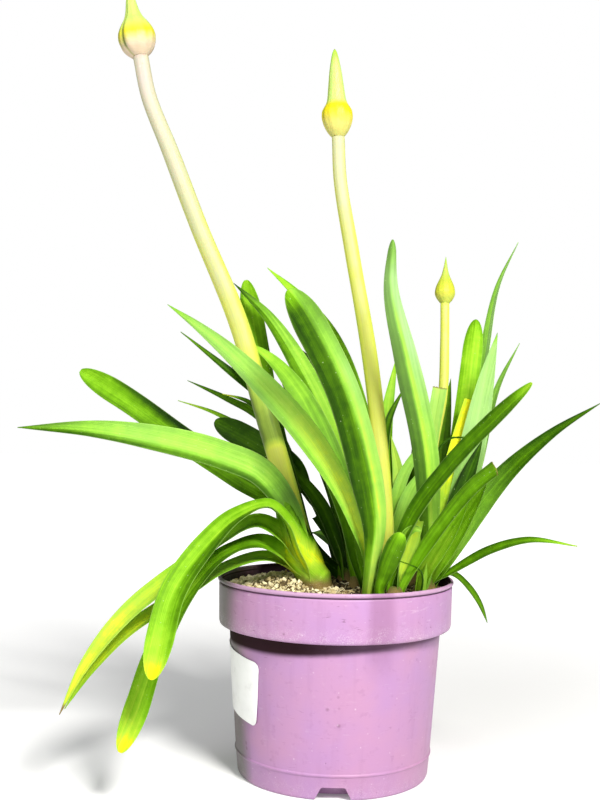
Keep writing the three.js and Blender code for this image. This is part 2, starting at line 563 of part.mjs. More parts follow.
// The fill: it follows the inside of the pot, a gap clear of it, up to its rough top.
function soilSolid() {
  const innerTop = bodyTopRadius - wall;
  const innerPanel = panelRadius - wall - gap;
  const collarInside = collarRadius - wall;
  const ledge = channelRise + wall + gap;
  const below = [
    [innerPanel - 0.2, floorTop + gap], [innerPanel, ledge], [footRadius - 1 - gap, ledge],
    [bodyFootRadius - wall - gap, ringHeight], [innerTop - gap, collarFoot - 1],
    [innerTop + gap, collarFoot + 2.1], [collarInside - 2.3 - gap, collarFoot + 2.4],
    [collarInside - gap, collarFoot + 4.2],
  ];
  const ringAt = (radius, heightAt) => Array.from({ length: potSides }, (_, k) => {
    const angle = (k / potSides) * 2 * Math.PI + Math.PI / 2;
    const [x, y] = [radius * Math.cos(angle), radius * Math.sin(angle)];
    return new THREE.Vector3(x, y, heightAt(x, y));
  });
  const rough = (x, y) => soilHeight(x, y) + (2 * draw() - 1) * soilRoughness;
  const rings = below.map(([radius, height]) => ringAt(radius, () => height));
  rings.push(ringAt(soil.radius - 0.1, soilHeight));
  for (const radius of soilRings) rings.push(ringAt(radius, rough));
  let solid = toSolid(loft(rings));
  for (const shoot of Object.values(shoots)) solid = solid.subtract(neckSolid(shoot.neck, gap));
  for (const scape of Object.values(scapes)) solid = solid.subtract(scapeSolid(scape, gap));
  return mainBody(solid);
}

function shootSolid(shoot) {
  let solid = neckSolid(shoot.neck);
  for (const leaf of shoot.leaves) solid = solid.add(leafSolid(leaf));
  for (const scape of Object.values(scapes)) solid = solid.subtract(scapeSolid(scape, gap));
  return mainBody(solid);
}

const plant = new THREE.Group();

function place(name, geometry, color, rough) {
  const material = new THREE.MeshStandardMaterial({ color, roughness: rough, metalness: 0 });
  const mesh = new THREE.Mesh(geometry, material);
  mesh.name = name;
  plant.add(mesh);
  return mesh;
}

place('pot', toGeometry(potSolid()), colours.pot, roughness.pot);
place('label', labelGeometry(), colours.label, roughness.label);
place('soil', toGeometry(soilSolid()), colours.soil, roughness.soil);

for (const [name, shoot] of Object.entries(shoots)) {
  place(`shoot_${name}`, toGeometry(shootSolid(shoot)), shoot.colour, roughness.leaf);
}

for (const [name, scape] of Object.entries(scapes)) {
  place(`scape_${name}`, toGeometry(scapeSolid(scape)), colours.scape, roughness.scape);
  const bud = place(`bud_${name}`, budGeometry(scape), colours.bud, roughness.bud);
  const along = scapeCurve(scape).getTangent(1);
  bud.position.copy(vector(scape.path.at(-1))).addScaledVector(along, gap);
  bud.quaternion.setFromUnitVectors(new THREE.Vector3(0, 0, 1), along);
}

export default plant;
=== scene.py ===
# A young agapanthus in its nursery pot. Metres, +Z up, the front faces -Y.
import math
import random
import bmesh
import bpy
import numpy as np
from mathutils import Matrix, Vector, noise


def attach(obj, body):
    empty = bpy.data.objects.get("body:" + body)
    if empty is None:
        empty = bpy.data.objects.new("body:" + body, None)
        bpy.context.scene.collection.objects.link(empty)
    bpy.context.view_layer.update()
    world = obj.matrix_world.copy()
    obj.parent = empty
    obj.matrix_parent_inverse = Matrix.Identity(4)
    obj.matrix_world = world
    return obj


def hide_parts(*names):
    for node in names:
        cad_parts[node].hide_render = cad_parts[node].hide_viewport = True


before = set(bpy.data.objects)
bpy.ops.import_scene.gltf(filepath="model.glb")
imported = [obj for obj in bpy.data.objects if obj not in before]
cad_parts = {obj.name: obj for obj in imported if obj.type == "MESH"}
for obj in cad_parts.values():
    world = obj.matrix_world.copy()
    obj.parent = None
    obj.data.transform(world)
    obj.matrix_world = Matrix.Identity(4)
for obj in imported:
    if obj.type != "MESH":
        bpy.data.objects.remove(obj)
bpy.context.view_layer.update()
mm = 0.001
fullTurn = 2 * math.pi
seedStep = 0.37                      # sets the veins of one leaf or stalk apart from those of the next
scene = bpy.context.scene
print("loaded the packed model:", len(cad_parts), "nodes")


def tint(code):
    # "#rrggbb" as it is seen, to the linear colour that shaders take
    parts = [int(code[i:i + 2], 16) / 255 for i in (1, 3, 5)]
    return tuple(c / 12.92 if c <= 0.04045 else ((c + 0.055) / 1.055) ** 2.4 for c in parts) + (1.0,)


def addNode(tree, kind, inputs=None, **settings):
    # each input is a plain value or another node's output
    node = tree.nodes.new(kind)
    for name, value in settings.items():
        setattr(node, name, value)
    for key, value in (inputs or {}).items():
        if isinstance(value, bpy.types.NodeSocket):
            tree.links.new(value, node.inputs[key])
        else:
            node.inputs[key].default_value = value
    return node


def mathNode(tree, operation, a, b=0.0, c=0.0, clamp=False):
    node = addNode(tree, "ShaderNodeMath", {0: a, 1: b, 2: c}, operation=operation, use_clamp=clamp)
    return node.outputs[0]


def product(tree, first, *others):
    for other in others:
        first = mathNode(tree, "MULTIPLY", first, other)
    return first


def scaled(tree, value, factor, added=0.0, clamp=False):
    # value times factor, plus what is added
    return mathNode(tree, "MULTIPLY_ADD", value, factor, added, clamp)


def stir(tree, level, value, amount, clamp=False):
    # moves a level up and down with a value that varies around 0.5
    return scaled(tree, value, amount, mathNode(tree, "ADD", level, -amount / 2), clamp)


def ease(tree, value, low, high, toLow=0.0, toHigh=1.0):
    # a smooth step from toLow to toHigh while the value goes from low to high
    node = addNode(tree, "ShaderNodeMapRange",
                   {0: value, 1: low, 2: high, 3: toLow, 4: toHigh}, interpolation_type="SMOOTHSTEP")
    return node.outputs[0]


def blendColour(tree, factor, a, b):
    return addNode(tree, "ShaderNodeMix", {0: factor, 6: a, 7: b}, data_type="RGBA").outputs[2]


def layOver(tree, colour, mask, code, amount=None):
    # one more colour over the ones so far, where the mask is
    strength = mask if amount is None else mathNode(tree, "MULTIPLY", mask, amount)
    return blendColour(tree, strength, colour, tint(code))


def rampNode(tree, value, stops):
    node = addNode(tree, "ShaderNodeValToRGB", {0: value})
    elements = node.color_ramp.elements
    while len(elements) < len(stops):
        elements.new(0.5)
    for element, (place, colour) in zip(elements, stops):
        element.position = place
        element.color = tint(colour)
    return node.outputs[0]


def drawnNoise(tree, place, stretch, turn=(0, 0, 0), **inputs):
    # noise that is finer along one axis than along another
    drawn = addNode(tree, "ShaderNodeMapping", {"Vector": place, "Rotation": turn, "Scale": stretch})
    noisy = addNode(tree, "ShaderNodeTexNoise", {"Vector": drawn.outputs[0], "Scale": 1.0, **inputs})
    return noisy.outputs[0]


def readValue(tree, name, output="Fac"):
    return addNode(tree, "ShaderNodeAttribute", attribute_name=name).outputs[output]


def bodyPlace(tree):
    return addNode(tree, "ShaderNodeTexCoord").outputs["Object"]


def newMaterial(name, **sockets):
    material = bpy.data.materials.new(name)
    material.use_nodes = True
    tree = material.node_tree
    tree.nodes.clear()
    shader = addNode(tree, "ShaderNodeBsdfPrincipled",
                     {key.replace("_", " "): value for key, value in sockets.items()})
    addNode(tree, "ShaderNodeOutputMaterial", {"Surface": shader.outputs[0]})
    return material, tree, shader


def dress(tree, shader, colour, rough, height, strength, distance):
    # links the colour, the roughness and the bumps of a surface, and gives back the bumped normal
    bump = addNode(tree, "ShaderNodeBump", {"Height": height, "Strength": strength, "Distance": distance})
    for socket, value in (("Base Color", colour), ("Roughness", rough), ("Normal", bump.outputs[0])):
        tree.links.new(value, shader.inputs[socket])
    return bump.outputs[0]


def newGroup(name, inputs, outputs):
    group = bpy.data.node_groups.new(name, "ShaderNodeTree")
    for label, kind, value in inputs:
        socket = group.interface.new_socket(name=label, in_out="INPUT", socket_type="NodeSocket" + kind)
        if value is not None:
            socket.default_value = value
    for label in outputs:
        group.interface.new_socket(name=label, in_out="OUTPUT", socket_type="NodeSocketFloat")
    return group, group.nodes.new("NodeGroupInput").outputs, group.nodes.new("NodeGroupOutput").inputs


def useGroup(tree, group, **inputs):
    return addNode(tree, "ShaderNodeGroup", inputs, node_tree=group).outputs


def makeVeins():
    # fine lines that run along a leaf or stalk: Place is (across, along, seed) in metres
    group, given, out = newGroup("plantVeins", [("Place", "Vector", None), ("Spacing", "Float", 0.001)],
                                 ["Line", "Soft"])
    across = addNode(group, "ShaderNodeSeparateXYZ", {0: given["Place"]}).outputs[0]
    drift = drawnNoise(group, given["Place"], (160, 16, 1), Detail=2.0)
    lanes = mathNode(group, "ADD", mathNode(group, "DIVIDE", across, given["Spacing"]), drift)
    wave = mathNode(group, "COSINE", product(group, lanes, fullTurn))
    line = mathNode(group, "POWER", scaled(group, wave, 0.5, 0.5), 2.5)
    soft = drawnNoise(group, given["Place"], (760, 17, 1), Detail=3.0)
    group.links.new(product(group, line, ease(group, soft, 0.35, 0.6)), out["Line"])
    group.links.new(soft, out["Soft"])
    return group


def makeMottle():
    # broad and fine unevenness, as two values around 0.5
    group, given, out = newGroup("softMottle", [("Place", "Vector", None), ("Size", "Float", 0.01)],
                                 ["Broad", "Fine"])
    scale = mathNode(group, "DIVIDE", 1.0, given["Size"])
    broad = addNode(group, "ShaderNodeTexNoise",
                    {"Vector": given["Place"], "Scale": scale, "Detail": 3.0, "Roughness": 0.55})
    fine = addNode(group, "ShaderNodeTexNoise",
                   {"Vector": given["Place"], "Scale": product(group, scale, 9.0), "Detail": 4.0})
    group.links.new(broad.outputs[0], out["Broad"])
    group.links.new(fine.outputs[0], out["Fine"])
    return group


def makeSpecks():
    # small round specks of uneven size: Share is how many of the cells hold one
    group, given, out = newGroup("dustSpecks", [("Place", "Vector", None), ("Cell", "Float", 0.003),
                                                ("Share", "Float", 0.3)], ["Mask"])
    scale = mathNode(group, "DIVIDE", 1.0, given["Cell"])
    cells = addNode(group, "ShaderNodeTexVoronoi", {"Vector": given["Place"], "Scale": scale}).outputs
    chance = addNode(group, "ShaderNodeSeparateColor", {0: cells["Color"]}).outputs
    chosen = mathNode(group, "LESS_THAN", chance[0], given["Share"])
    reach = scaled(group, chance[1], 0.16, 0.05)
    near = mathNode(group, "SUBTRACT", 1.0, mathNode(group, "DIVIDE", cells["Distance"], reach), clamp=True)
    group.links.new(product(group, near, chosen), out["Mask"])
    return group


veins, mottle, specks = makeVeins(), makeMottle(), makeSpecks()
print("built the shared shader groups")


def joinSkins(skins):
    # several skins as one: points, faces and the values at each point
    points, faces, values, start = [], [], {}, 0
    for skin in skins:
        points.append(skin["points"])
        faces += [tuple(start + k for k in face) for face in skin["faces"]]
        start += len(skin["points"])
    for key in skins[0]["values"]:
        values[key] = np.concatenate([skin["values"][key] for skin in skins])
    return {"points": np.concatenate(points), "faces": faces, "values": values}


def makePiece(name, skin, material, smooth=True, closed=True):
    # a mesh object at the origin from a skin whose points are in millimetres
    mesh = bpy.data.meshes.new(name)
    mesh.from_pydata((skin["points"] * mm).tolist(), [], skin["faces"])
    for key, value in skin["values"].items():
        flat = np.asarray(value, np.float32)
        kind, field = ("FLOAT_VECTOR", "vector") if flat.ndim == 2 else ("FLOAT", "value")
        mesh.attributes.new(key, kind, "POINT").data.foreach_set(field, flat.ravel())
    if closed:
        shell = bmesh.new()
        shell.from_mesh(mesh)
        bmesh.ops.recalc_face_normals(shell, faces=shell.faces)
        shell.to_mesh(mesh)
        shell.free()
    mesh.polygons.foreach_set("use_smooth", [smooth] * len(mesh.polygons))
    mesh.materials.append(material)
    mesh.update()
    piece = bpy.data.objects.new(name, mesh)
    scene.collection.objects.link(piece)
    return piece


def fit(piece, slot, *nodes):
    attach(piece, "root")
    if nodes:
        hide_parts(*nodes)


def runLength(points):
    # how far along the points each of them is
    return np.concatenate([[0], np.cumsum(np.linalg.norm(np.diff(points, axis=0), axis=1))])


def evenPath(points, count=320):
    # the smooth curve through the points (centripetal Catmull-Rom), sampled evenly along its length
    p = np.asarray(points, float)
    p = np.vstack([2 * p[0] - p[1], p, 2 * p[-1] - p[-2]])
    w = np.linspace(0, 1, 40, endpoint=False)[:, None]
    parts = []
    for a, b, c, d in zip(p, p[1:], p[2:], p[3:]):
        s, t, u = (np.linalg.norm(y - x) ** 0.5 for x, y in ((a, b), (b, c), (c, d)))
        leave = ((b - a) / s - (c - a) / (s + t) + (c - b) / t) * t
        arrive = ((c - b) / t - (d - b) / (t + u) + (d - c) / u) * t
        parts.append(b + leave * w + (3 * (c - b) - 2 * leave - arrive) * w ** 2
                     + (2 * (b - c) + leave + arrive) * w ** 3)
    dense = np.vstack(parts + [p[-2:-1]])
    run = runLength(dense)
    even = np.linspace(0, run[-1], count)
    return np.stack([np.interp(even, run, dense[:, k]) for k in range(3)], 1), run[-1]


def alongPath(path, shares):
    # points and unit tangents of an even path at shares of its length
    steps = np.linspace(0, 1, len(path))
    slope = np.gradient(path, axis=0)
    at = np.stack([np.interp(shares, steps, path[:, k]) for k in range(3)], 1)
    way = np.stack([np.interp(shares, steps, slope[:, k]) for k in range(3)], 1)
    return at, way / np.linalg.norm(way, axis=1)[:, None]


def smoothStep(x, low=0.0, high=1.0):
    x = np.clip((np.asarray(x, float) - low) / (high - low), 0, 1)
    return x * x * (3 - 2 * x)


def bell(x, width):
    return np.exp(-(x / width) ** 2)


def within(t, rise, fall):
    # a column that is 1 from the end of the smooth rise to the start of the smooth fall, and 0 outside
    return (smoothStep(t, *rise) * smoothStep(t, fall[1], fall[0]))[:, None]


def wander(x, seed, waves=((1, 1.0), (2.3, 0.5), (4.9, 0.25))):
    # a gentle random wave along x, between about -1 and 1, the same for the same seed
    draw = random.Random(seed)
    x = np.asarray(x, float)
    total = sum(size * np.sin(fullTurn * (rate * x + draw.random())) for rate, size in waves)
    return total / sum(size for _, size in waves)


def roundAngles(count):
    return np.linspace(0, fullTurn, count, endpoint=False)


def gridFaces(rows, columns, wrap=True, start=0):
    faces = []
    for i in range(rows - 1):
        for k in range(columns if wrap else columns - 1):
            a, b = start + i * columns + k, start + i * columns + (k + 1) % columns
            faces.append((a, b, b + columns, a + columns))
    return faces


def closedTube(rows, sides):
    # the faces round a tube, and one over each of its ends
    ends = [tuple(range(sides)), tuple((rows - 1) * sides + k for k in range(sides))]
    return gridFaces(rows, sides) + ends


def placeValues(across, along, seed):
    # where a point is on a leaf or stalk, for the veins: both in mm, with a seed that sets pieces apart
    return np.stack([across.ravel() * mm, along.ravel() * mm, np.full(across.size, seed)], 1)


def tubeSkin(path, radii, sides=24, seed=0, rows=None, relief=None):
    # a stalk round a path of points, with a radius at each of them, closed at both ends
    even, length = evenPath(path)
    rows = rows or max(8, int(length / 3))
    share = np.linspace(0, 1, rows)
    at, way = alongPath(even, share)
    keys = runLength(np.asarray(path, float))
    radius = np.interp(share, keys / keys[-1], radii)
    right = np.cross((0, 1, 0), way)
    right /= np.linalg.norm(right, axis=1)[:, None]
    deep = np.cross(way, right)
    angle = roundAngles(sides)
    r = radius[:, None] * np.ones((1, sides))
    if relief is not None:
        r = r + relief(share[:, None], angle[None, :])
    points = (at[:, None] + right[:, None] * (r * np.cos(angle))[..., None]
              + deep[:, None] * (r * np.sin(angle))[..., None])
    along = share[:, None] * length * np.ones((1, sides))
    place = placeValues(radius[:, None] * angle, along, seed * seedStep)
    return {"points": points.reshape(-1, 3), "faces": closedTube(rows, sides),
            "values": {"place": place, "share": np.repeat(share, sides)}}


# Leaves. Points are in millimetres. Each shoot has a neck, as (x, y, z, half width, half depth) from
# inside the soil up, and its leaves. A leaf's tone runs along it as (share, tone) or as (share, left half,
# right half): 0 is nearly black green, 0.5 mid green, 0.8 lime and 1 yellow. The tones hold painted shade
# and painted light besides the leaf's own green, and a darker half is mostly painted shade; pale is a
# painted highlight that washes a blade towards whitish green. Turn is how far the blade is
# turned about its own length, in degrees, and split says where across the blade the two halves meet.
shootRoutes = {
    "left": {
        "neck": [(-13.5, -15, 112, 9, 12), (-13.5, -15, 130, 10.2, 13), (-18.2, -15, 143, 12.4, 13.5),
                 (-25.2, -16, 157, 14, 13), (-31, -18, 172, 13, 11.5), (-35.5, -21, 186, 10, 8.5),
                 (-38.5, -24, 196, 5, 5)],
        "neckKeep": 1.0,
        "leaves": {
            "longLow": {
                "width": 21.5, "turn": (-20, -35), "hollow": 0.4,
                "tone": [(0, 0.96, 0.94), (0.12, 0.96, 0.8), (0.18, 0.72, 0.44), (0.23, 0.28, 0.32),
                         (0.31, 0.36, 0.68), (0.55, 0.42, 0.74), (0.8, 0.32, 0.62), (0.93, 0.3, 0.4),
                         (1, 0.3)],
                "pale": [(0.1, 0), (0.35, 0.05, 0.35), (0.7, 0.05, 0.4), (0.88, 0, 0.1), (1, 0)],
                "split": [(0, 0.3), (0.3, 0.5), (0.8, 0.35), (1, 0)],
                "path": [(-16, -25, 140), (-25, -27, 162), (-35, -30, 190), (-54, -35, 214),
                         (-79, -40, 225), (-117, -48, 235), (-166, -61, 242), (-214, -75, 242)]},
            "highBlunt": {
                "width": 18.5, "turn": (-25, -10), "hollow": 0.3, "tip": "round",
                "tone": [(0, 0.5), (0.3, 0.48, 0.14), (0.55, 0.52, 0.1), (0.75, 0.54, 0.26), (0.9, 0.54),
                         (1, 0.6)],
                "split": [(0, -0.1), (0.5, -0.35), (0.8, -0.5)],
                "path": [(-18, -3, 143), (-27, 0, 163), (-39, 2, 188), (-72, 4, 209), (-113, 8, 235),
                         (-155, 16, 263), (-195, 26, 286)]},
            "broadDroop": {
                "width": 18.5, "hollow": 0.35, "tip": "round", "opening": (0.7, 0.45),
                "turn": [(0, -66), (0.15, -74), (0.3, -74), (0.55, -35), (0.85, -5), (1, -5)],
                "tone": [(0, 0.96), (0.1, 0.95), (0.2, 0.66), (0.35, 0.36, 0.64), (0.6, 0.36, 0.62),
                         (0.8, 0.56, 0.64), (0.92, 0.7, 0.74), (0.97, 0.98), (1, 1)],
                "split": [(0, 0), (0.35, 0.1), (1, 0.2)],
                "path": [(-17, -26, 146), (-24.5, -32, 162), (-33, -38, 181), (-48, -45, 193.5),
                         (-70, -54, 186), (-90.5, -69, 165.5), (-107.5, -85, 139), (-113.5, -103, 110),
                         (-116, -118, 89)]},
            "wideDroop": {
                "width": 19, "hollow": 0.25, "opening": (0.9, 0.2),
                "turn": [(0, -50), (0.15, -58), (0.3, -70), (0.6, -50), (1, -30)],
                "tone": [(0, 0.95), (0.1, 0.92), (0.17, 0.66), (0.24, 0.52), (0.4, 0.7), (0.7, 0.94),
                         (0.92, 0.98), (1, 0.9)],
                "dry": [(0.955, 0), (0.985, 0.9), (1, 1)],
                "pale": [(0.5, 0), (0.7, 0.25), (0.95, 0.2)],
                "path": [(-18, -18, 146), (-27, -22, 159), (-38, -30, 172), (-56, -34, 180.5),
                         (-77, -39, 171), (-109, -49, 147), (-143, -62, 118), (-166, -74, 87),
                         (-179, -86, 58)]},
            "longDroop": {
                "width": 17, "hollow": 0.35, "tip": "round", "opening": (1.0, 0.22),
                "turn": [(0, -46), (0.14, -54), (0.3, -68), (0.6, -35), (1, -5)],
                "tone": [(0, 0.96), (0.1, 0.9), (0.17, 0.6), (0.26, 0.4), (0.4, 0.46, 0.64),
                         (0.8, 0.56, 0.7), (0.93, 0.76), (0.97, 0.97), (1, 1)],
                "path": [(-16, -18, 140), (-27, -22, 150), (-38, -29, 160), (-55, -36, 166.5),
                         (-80, -43, 158), (-103, -54, 132), (-121, -69, 94), (-130, -82, 62),
                         (-138, -94, 37)]},
            "yellowDroop": {
                "width": 15, "opening": (0.7, 0.25),
                "turn": [(0, -60), (0.2, -68), (0.35, -68), (1, -35)],
                "tone": [(0, 0.96), (0.12, 0.92), (0.2, 0.72), (0.4, 0.68), (0.55, 0.86), (0.75, 0.9),
                         (0.9, 0.78), (1, 0.74)],
                "path": [(-14, -14, 137), (-25, -18, 144), (-36, -23, 151.5), (-52, -28, 155.5),
                         (-78, -34, 148), (-103, -41, 132), (-140, -54, 108), (-163, -65, 83),
                         (-178, -76, 59)]},
        },
    },
    "back": {
        "neck": [(9, 13, 112, 8, 10), (9, 13, 130, 8.5, 10.5), (7, 14, 143, 8, 10), (4, 16, 156, 5, 7)],
        "leaves": {
            "darkBlunt": {
                "width": 19, "tip": "round",
                "turn": [(0, -70), (0.42, -70), (0.55, -15), (1, 0)],
                "tone": [(0, 0.5), (0.3, 0.44), (0.6, 0.24), (0.8, 0.28), (1, 0.24)],
                "path": [(8, 10, 136), (6, 14, 155), (-3, 19, 175), (-18, 25, 193), (-36, 31, 218),
                         (-62, 44, 234), (-95, 58, 250)]},
            "behindStalk": {
                "width": 17, "turn": (5, 5), "tip": "round",
                "tone": [(0, 0.2), (0.5, 0.3), (0.58, 0.38), (0.63, 0.14), (0.67, 0.44), (0.88, 0.56),
                         (1, 0.7)],
                "path": [(6, 11, 136), (-7, 12, 147), (-21, 12, 162), (-31, 11, 188), (-42, 12, 222),
                         (-53, 16, 266), (-61, 20, 307), (-71, 24, 357)]},
            "thinDark": {
                "width": 11,
                "turn": [(0, -76), (0.45, -72), (0.65, -45), (1, -45)],
                "tone": [(0, 0.5), (0.4, 0.46), (0.8, 0.4), (0.92, 0.28), (1, 0.3)],
                "path": [(8, 16, 136), (3, 20, 157), (-12, 29, 186), (-27, 38, 212), (-58, 56, 253),
                         (-88, 70, 269), (-120, 84, 283)]},
            "palePoint": {
                "width": 8, "turn": (-50, -50),
                "tone": [(0, 0.2), (0.6, 0.3), (0.75, 0.66), (0.9, 0.78), (1, 0.8)],
                "path": [(7, 18, 136), (-2, 26, 158), (-31, 46, 213), (-68, 67, 242), (-97, 82, 257),
                         (-129, 98, 267)]},
            "yellowTip": {
                "width": 10,
                "turn": [(0, -76), (0.55, -72), (0.75, -35), (1, -40)],
                "tone": [(0, 0.4), (0.6, 0.3), (0.8, 0.28), (0.9, 0.3), (0.95, 0.92), (1, 0.96)],
                "path": [(8, 11, 136), (3, 15, 157), (-12, 23, 186), (-27, 31, 212), (-50, 47, 250),
                         (-69, 57, 266), (-90, 66, 272)]},
            "lowGrey": {
                "width": 11, "turn": (-20, -20),
                "tone": [(0, 0.12), (0.6, 0.3), (1, 0.36)],
                "path": [(8, 8, 136), (2, 9, 158), (-10, 11, 187), (-27, 13, 209), (-42, 15, 225)]},
            "tornEnd": {
                "width": 13, "turn": (-10, -10), "tip": "cut",
                "tone": [(0, 0.4), (0.6, 0.34), (1, 0.2)],
                "path": [(12, 11, 136), (9, 12, 146), (0, 15, 165), (-12, 18, 182)]},
            "brokenStub": {
                "width": 7, "turn": (0, 0), "hollow": 0.1, "tip": "cut",
                "tone": [(0, 0.14), (1, 0.1)],
                "path": [(6, 19, 136), (2, 21, 146), (-2, 24, 160)]},
            "innerDark": {
                "width": 12, "turn": (-10, -10),
                "tone": [(0, 0.5), (0.5, 0.5), (1, 0.34)],
                "pale": [(0.1, 0), (0.4, 0.3), (1, 0.1)],
                "path": [(8, 18, 136), (11, 23, 151), (9, 29, 184), (1, 34, 204), (-9, 38, 220),
                         (-28, 44, 246)]},
            "shortDark": {
                "width": 10, "turn": (-5, -5), "tip": "cut",
                "tone": [(0, 0.3), (0.8, 0.32), (1, 0.34)],
                "path": [(10, 19, 136), (7, 25, 158), (-1, 31, 195), (-18, 40, 237), (-38, 50, 282)]},
        },
    },
    "inner": {
        "neck": [(14, -9, 112, 5, 5.5), (14, -9, 130, 5.5, 6), (13, -10, 142, 5, 5.5),
                 (11, -11, 152, 3, 3.5)],
        "leaves": {
            "underCrossing": {
                "width": 13, "turn": (-35, -50), "hollow": 0.3,
                "tone": [(0, 0.36), (0.4, 0.2), (0.8, 0.2), (0.94, 0.3), (1, 0.38)],
                "path": [(14, -8, 136), (13, -4, 160), (2, 4, 206), (-38, 9, 254), (-82, 4, 288),
                         (-116, -5, 314)]},
            "slimFront": {
                "width": 8, "turn": (30, 30),
                "tone": [(0, 0.5), (0.4, 0.42), (1, 0.3)],
                "path": [(13, -11, 136), (11, -13, 152), (8, -15, 177), (3, -18, 200)]},
            "slimBehind": {
                "width": 8, "turn": (30, 30),
                "tone": [(0, 0.5), (0.4, 0.36), (1, 0.26)],
                "path": [(16, -8, 136), (15, -8, 148), (13, -9, 166), (9, -11, 189)]},
        },
    },
    "centre": {
        "neck": [(22.5, -38, 112, 6, 16), (22, -38, 130, 6, 16.5), (21, -38, 145, 4.6, 15),
                 (20, -37, 158, 3, 11)],
        "leaves": {
            "crossing": {
                "width": 19, "turn": (-15, -25), "hollow": 0.15, "opening": (0.3, 0.5),
                "tone": [(0, 0.7, 0.8), (0.12, 0.7, 0.88), (0.32, 0.7, 0.88), (0.46, 0.6, 0.84),
                         (0.6, 0.5, 0.72), (0.8, 0.44, 0.6), (1, 0.5)],
                "pale": [(0.1, 0.1), (0.25, 0.2), (0.45, 0.2), (0.7, 0.4), (0.9, 0.4), (1, 0.1)],
                "split": [(0, 0.5), (1, 0.45)],
                "path": [(22, -44, 136), (19.5, -49, 160), (12.5, -52.5, 179), (0, -56, 207),
                         (-28, -58, 247), (-70, -58, 290), (-97, -58, 312), (-119, -60, 327)]},
            "broadFront": {
                "width": 22.5, "turn": (5, -15), "hollow": -0.4, "tip": "round",
                "opening": (0.36, 0.4), "streak": 0.14,
                "tone": [(0, 0.7, 0.86), (0.1, 0.56, 0.84), (0.2, 0.34, 0.78), (0.4, 0.28, 0.78),
                         (0.75, 0.26, 0.62), (0.93, 0.28, 0.46), (1, 0.6)],
                "pale": [(0.02, 0.1, 0.3), (0.12, 0, 0.35), (0.3, 0, 0.4), (0.7, 0, 0.5), (0.9, 0, 0.2)],
                "split": [(0, 0.3), (0.12, 0.1), (0.24, -0.2), (0.4, -0.3), (0.7, -0.1), (1, -0.05)],
                "path": [(20.5, -51, 136), (22.3, -56, 157), (23.3, -60, 180), (16.5, -66, 215),
                         (0, -82, 269), (-25, -100, 315), (-37, -108, 332)]},
            "behindBroad": {
                "width": 19, "turn": (-10, -20),
                "tone": [(0, 0.5), (0.4, 0.44), (0.7, 0.56), (0.9, 0.66), (1, 0.72)],
                "path": [(25, -27, 136), (26, -12, 163), (23.5, -2, 202), (13.5, 8, 260), (-6.5, 16, 314),
                         (-31.5, 22, 346), (-55, 26, 367)]},
            "creased": {
                "width": 18, "turn": (-10, -25), "hollow": 0.35,
                "tone": [(0, 0.6), (0.4, 0.44, 0.7), (0.7, 0.4, 0.68), (0.9, 0.34, 0.5), (1, 0.16)],
                "pale": [(0.3, 0), (0.5, 0, 0.2), (0.8, 0, 0.2), (1, 0)],
                "path": [(23, -33, 136), (19, -32, 157), (12, -27, 192), (-2, -18, 237), (-25, -5, 285),
                         (-53, 9, 328), (-80, 20, 354)]},
            "wideLime": {
                "width": 19, "turn": (-10, -20),
                "tone": [(0, 0.34), (0.2, 0.36), (0.34, 0.5), (0.6, 0.52), (0.85, 0.6), (0.95, 0.78),
                         (1, 0.84)],
                "pale": [(0.3, 0), (0.5, 0.14), (0.8, 0.1)],
                "path": [(21, -36, 136), (14, -36, 157), (8, -34, 185), (-8, -28, 230), (-28, -18, 269),
                         (-48, -8, 294), (-69, 2, 309)]},
            "oliveCut": {
                "width": 11, "turn": (-10, -10), "tip": "round",
                "tone": [(0, 0.5), (0.5, 0.36), (0.85, 0.3), (0.95, 0.12), (1, 0.1)],
                "path": [(22, -30, 136), (17, -20, 166), (10, -8, 206), (-1, 4, 245), (-14, 12, 278),
                         (-29, 18, 304)]},
        },
    },
    "front": {
        "neck": [(38, -57, 112, 7.5, 6), (38, -57, 130, 8, 6.5), (38, -58, 142, 7, 5.5),
                 (38, -59, 152, 4, 3.5)],
        "stems": [{"path": [(54, -50, 122), (57, -55, 145), (55, -58, 151), (48, -62, 155), (40, -66, 158)],
                   "radii": [0.7, 0.7, 0.6, 0.5, 0.4], "tone": 0.2}],
        "leaves": {
            "darkDiagonal": {
                "width": 16, "turn": (55, 62), "tip": "oval",
                "tone": [(0, 0.5), (0.15, 0.42), (0.4, 0.33), (0.7, 0.36), (0.9, 0.4), (0.98, 0.7),
                         (1, 0.8)],
                "path": [(37, -57, 136), (38, -60, 161), (48.5, -68, 190.5), (71, -82, 224.5),
                         (94, -99, 252), (115.5, -116, 275.5)]},
            "curledLip": {
                "width": 13.5, "turn": (10, 10), "hollow": -0.3, "tip": "oval", "opening": (0.5, 0.6),
                "tone": [(0, 0.5), (0.3, 0.4), (0.8, 0.4), (0.93, 0.55), (1, 0.76)],
                "path": [(27.5, -59, 136), (30.5, -61, 148), (35.4, -65, 163), (41, -69, 177)]},
            "lipFold": {
                "width": 6.5, "turn": (35, -20), "hollow": 0.4, "tip": "oval",
                "tone": [(0, 0.5), (0.6, 0.6), (1, 0.72)],
                "pale": [(0.5, 0), (1, 0.25)],
                "path": [(34, -58, 136), (36.5, -60, 152), (40.5, -64, 167), (45, -67, 177),
                         (49.5, -69, 180), (54, -70, 179)]},
            "cutEnd": {
                "width": 10, "turn": (35, 35), "hollow": 0.25, "tip": "cut",
                "tone": [(0, 0.6), (0.3, 0.5), (0.8, 0.46), (1, 0.46)],
                "dry": [(0.985, 0), (0.997, 0.45), (1, 0.6)],
                "path": [(42, -56, 136), (54, -60, 161), (72, -76, 192), (84, -92, 210), (95, -106, 222)]},
            "sheathEnd": {
                "width": 9, "turn": (10, 15), "tip": "cut",
                "tone": [(0, 0.88), (0.6, 0.9), (1, 0.88)],
                "dry": [(0.94, 0), (1, 0.3)],
                "pale": [(0, 0.15), (0.6, 0.2), (1, 0.15)],
                "path": [(40, -54, 136), (44, -53, 152), (50, -52, 171), (53, -51, 184)]},
        },
    },
    "right": {
